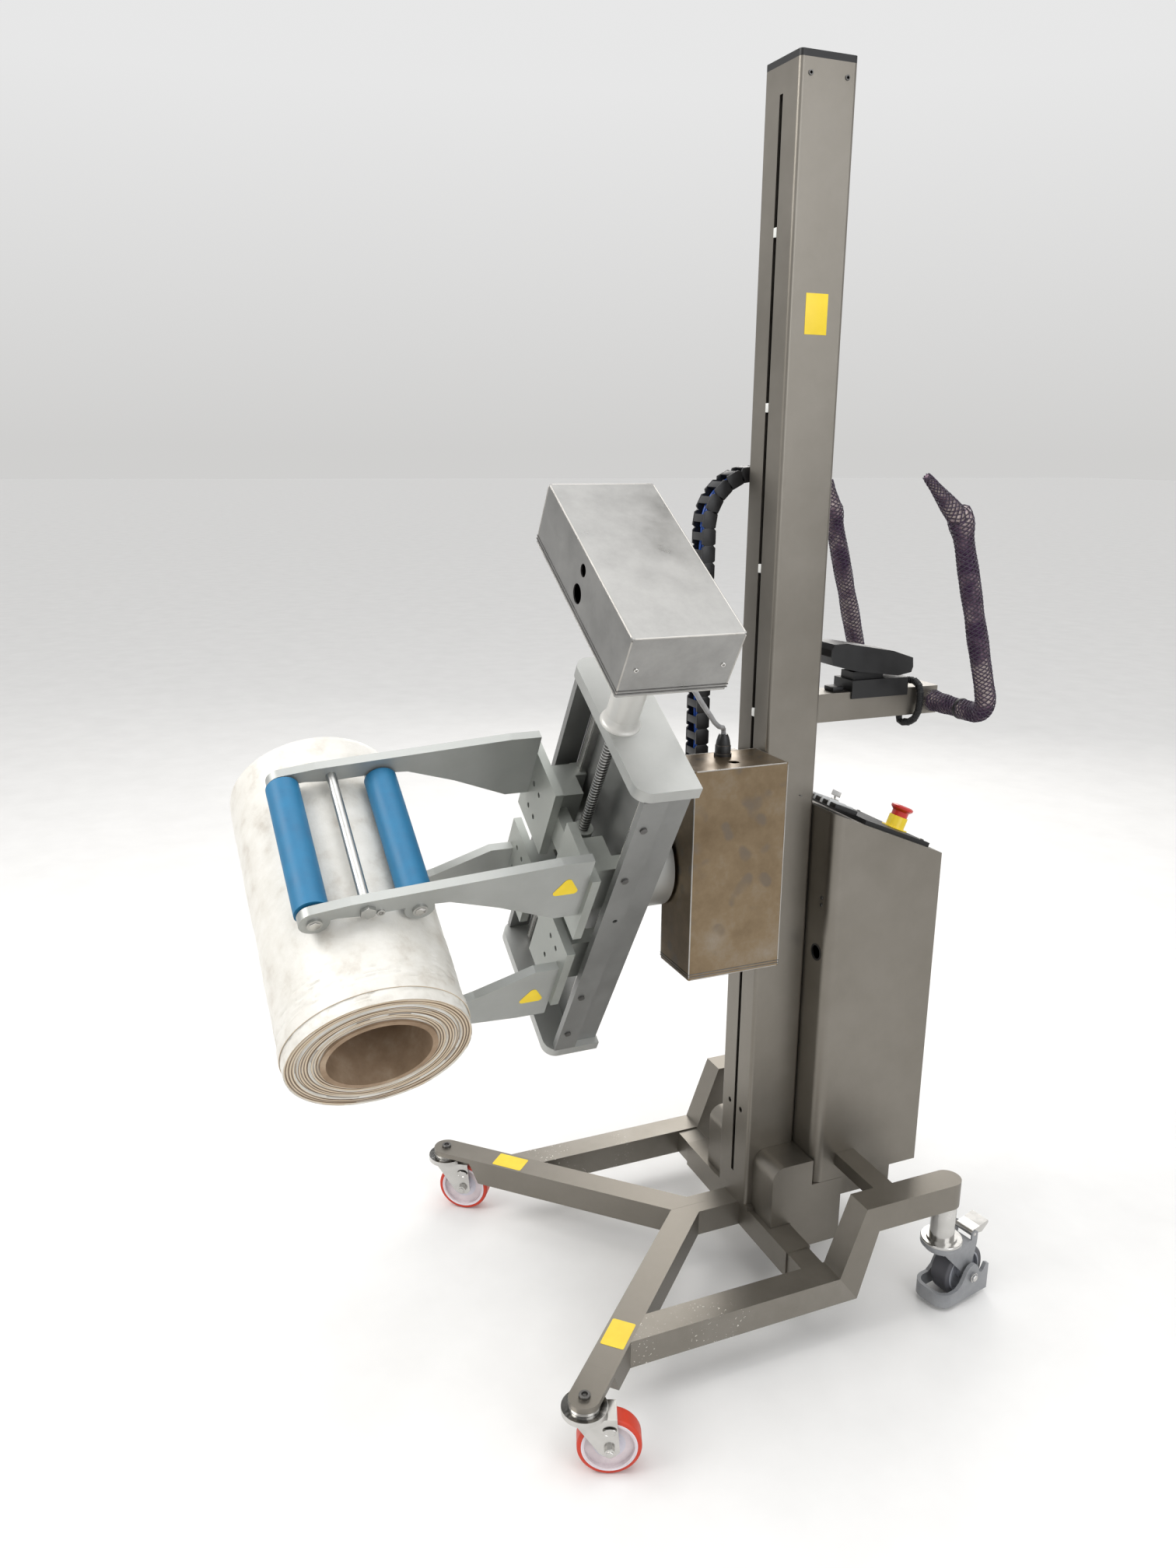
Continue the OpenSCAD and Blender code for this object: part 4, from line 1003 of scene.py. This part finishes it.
# ---------- console and handles ----------
def console_detail():
    cells, gaps = [], []
    for k in range(5):
        x = 84 - 22 * k
        cells.append(block(SLOPE, (x - 8.5, 12, 8.0), (x + 8.5, 62, 16)))
        if k < 4:
            gaps.append(block(SLOPE, (x - 12.9, 10, 8.0), (x - 9.1, 64, 18.5)))
    o = piece("switch_row", *joined(cells), BLACK_GLOSS, "root", bevel=0.0012)
    o = piece("switch_row_spacers", *joined(gaps), CLEAR, "root", bevel=0.0005)
    # key switch: collar, barrel and a long flat key
    m = aim(SLOPE, (-20, 92, 8), (0, 0, 1))
    parts = [lathe(m, [(12, 0), (12, 2.4), (10.6, 3.6), (9, 3.6), (9, 9), (8, 10), (0.1, 10)], 40)]
    o = piece("key_switch", *joined(parts), POLISHED, "root")
    stem = [SLOPE @ (Vector(p) / 1000) for p in ((-20, 92, 16), (-20, 92, 20), (-20, 91, 24))]
    parts = [tube(stem, 0.0022, 10), block(SLOPE, (-33, 90.6, 23), (-7, 92.4, 33))]
    o = piece("key", *joined(parts), BRASS, "root", bevel=0.0006)
    # yellow body of the stop button
    prof = [(24.0, 8.0), (24.0, 9.0), (23.2, 9.8), (17.6, 9.8), (17.1, 10.6), (17.1, 30.2), (16.6, 31.0),
            (15.5, 31.0), (15.5, 8.0)]
    body = lathe(aim(SLOPE, (30, 203.7, 0), (0, 0, 1)), prof, 56, closed=True)
    o = piece("stop_body", *body, YELLOW, "root")
    # screws in the panel and in the shell's front
    parts = [socket(SLOPE, (x, y, 8), (0, 0, 1), 3.4, 1.8) for x in (-96, 96) for y in (-66, 216)]
    parts += [socket(MAST, (92, 100.3, z), (0, -1, 0), 3.6, 1.6) for z in (755, 742)]
    o = piece("console_screws", *joined(parts), DARK_STEEL, "root")
    # grommet of the port in the console's front
    prof = [(12.4, -1.5), (12.4, 0.8), (15.5, 0.8), (15.5, 0)]
    grommet = lathe(aim(MAST, (85, 100.3, 650), (0, -1, 0)), prof, 40, closed=True)
    o = piece("port_grommet", *grommet, BLACK, "root")
    # ribs on the pendant's cable, and a pad in front of its mount
    ribs = []
    route = [(10, 309, 1113), (22, 316, 1113), (32, 319, 1106), (36, 320, 1094), (37, 320, 1078),
             (37, 318, 1060), (33, 314, 1046), (24, 309, 1038), (12, 306, 1037)]
    pts = [M(*p) for p in route]
    for p, q in zip(pts, pts[1:]):
        n = max(1, int((q - p).length / 0.003))
        for i in range(n):
            here = frame_at(p.lerp(q, i / n), *basis((q - p).normalized()))
            ribs.append(lathe(here, [(5.9, -0.9), (6.5, -0.4), (6.5, 0.4), (5.9, 0.9)], 20))
    o = piece("conduit_ribs", *joined(ribs), BLACK, "root")
    o = piece("pendant_pad", *block(MAST, (-14, 150, 1102), (14, 172, 1110)), BLACK, "root", bevel=0.002)
    # box seams and cable gland on the rotator box
    seams = []
    g = 0.6
    for z0 in (664.0, 668.5):
        seams += [block(MAST, (21 - g, -176 - g, z0), (126 + g, -176, z0 + 1.3)),
                  block(MAST, (126, -176 - g, z0), (126 + g, -4 + g, z0 + 1.3)),
                  block(MAST, (21 - g, -4, z0), (126 + g, -4 + g, z0 + 1.3))]
    o = piece("rotator_box_seam", *joined(seams), DARK_STEEL, "carriage", bevel=0.0002)
    g0 = aim(MAST, (47, -83, 0), (0, 0, 1))
    collar = [(14.7, 1017.2), (14.7, 1021.6), (14.2, 1022.2), (12.0, 1022.2), (12.0, 1017.2)]
    nut = [(12.0, 1022.2), (13.1, 1022.6), (13.1, 1035.0), (12.3, 1036.2), (12.0, 1036.2)]
    boot = [(11.4, 1036.0), (12.2, 1036.4), (11.4, 1042.0), (9.6, 1048.5), (7.2, 1054.3), (4.2, 1054.3),
            (4.2, 1036.0)]
    gland = [lathe(g0, prof, n, closed=True) for prof, n in ((collar, 40), (nut, 18), (boot, 40))]
    o = piece("cable_gland", *joined(gland), BLACK_GLOSS, "carriage")


def basis(d):
    """Three axes of a frame whose Z is d."""
    r = Vector((0, 0, 1)) if abs(d.z) < 0.9 else Vector((1, 0, 0))
    ex = (r - d * r.dot(d)).normalized()
    return ex, d.cross(ex), d


console_detail()


# ---------- stage ----------
def stage():
    m = Mat("floor_pale")
    n = m.noise(6, 4, 0.6)
    m.link(m.ramp(n, [(0.3, (0.74, 0.735, 0.725)), (0.7, (0.78, 0.775, 0.765))]), m.p.inputs["Base Color"])
    m.set(Roughness=0.75)
    # wide flat floor, just below the wheels
    me = bpy.data.meshes.new("floor")
    half, z = 60, -0.0005
    me.from_pydata([(-half, -half, z), (half, -half, z), (half, half, z), (-half, half, z)], [],
                   [(0, 1, 2, 3)])
    fl = bpy.data.objects.new("floor", me)
    bpy.context.scene.collection.objects.link(fl)
    me.materials.append(m.m)
    w = bpy.data.worlds.new("studio")
    bpy.context.scene.world = w
    w.use_nodes = True
    bg = w.node_tree.nodes["Background"]
    bg.inputs["Strength"].default_value = 0.86
    tc = w.node_tree.nodes.new("ShaderNodeTexCoord")
    sp = w.node_tree.nodes.new("ShaderNodeSeparateXYZ")
    rp = w.node_tree.nodes.new("ShaderNodeValToRGB")
    w.node_tree.links.new(tc.outputs["Generated"], sp.inputs[0])
    w.node_tree.links.new(sp.outputs["Z"], rp.inputs["Fac"])
    w.node_tree.links.new(rp.outputs["Color"], bg.inputs["Color"])
    e = rp.color_ramp.elements
    e[0].position, e[0].color = 0.0, (0.735, 0.73, 0.72, 1)
    e[1].position, e[1].color = 0.75, (1.0, 1.0, 1.0, 1)
    el = e.new(0.25)
    el.color = (0.93, 0.93, 0.93, 1)

    def area(name, loc, target, size, power, col=(1, 1, 1)):
        l = bpy.data.lights.new(name, "AREA")
        l.shape = "RECTANGLE"
        l.size, l.size_y = size
        l.energy = power
        l.color = col
        ob = bpy.data.objects.new(name, l)
        bpy.context.scene.collection.objects.link(ob)
        ob.location = loc
        ob.rotation_euler = (Vector(target) - Vector(loc)).to_track_quat("-Z", "Y").to_euler()

    area("key", (-0.6, -3.2, 3.6), (0, 0, 0.9), (2.6, 1.8), 95, (1, 0.985, 0.96))
    area("fill", (3.6, 1.2, 2.4), (0, 0, 0.9), (2.4, 2.4), 42, (0.95, 0.97, 1))
    area("top", (0.2, 0.3, 4.2), (0, 0, 0.6), (3.2, 3.2), 60)
    area("rim", (-3.4, 2.4, 2.6), (0, 0, 1.0), (2.0, 2.4), 45, (1, 0.97, 0.93))
    # the photograph's camera, as fitted
    cam = bpy.data.cameras.new("camera")
    cam.sensor_fit = "VERTICAL"
    cam.sensor_height = 36
    cam.lens = 27.605
    cam.clip_end = 200
    co = bpy.data.objects.new("camera", cam)
    bpy.context.scene.collection.objects.link(co)
    yaw, pitch, roll = math.radians(66.98), math.radians(-15.56), math.radians(0.481)
    fwd = Vector((-math.sin(yaw) * math.cos(pitch), math.cos(yaw) * math.cos(pitch), math.sin(pitch)))
    right = fwd.cross(Vector((0, 0, 1))).normalized()
    up = right.cross(fwd)
    ex = right * math.cos(roll) + up * math.sin(roll)
    ey = up * math.cos(roll) - right * math.sin(roll)
    co.matrix_world = frame_at(Vector((1.73105, -0.8188, 1.5059)), ex, ey, -fwd)
    bpy.context.scene.camera = co
    bpy.context.scene.view_settings.view_transform = "Standard"
    bpy.context.scene.view_settings.exposure = 0.0


stage()
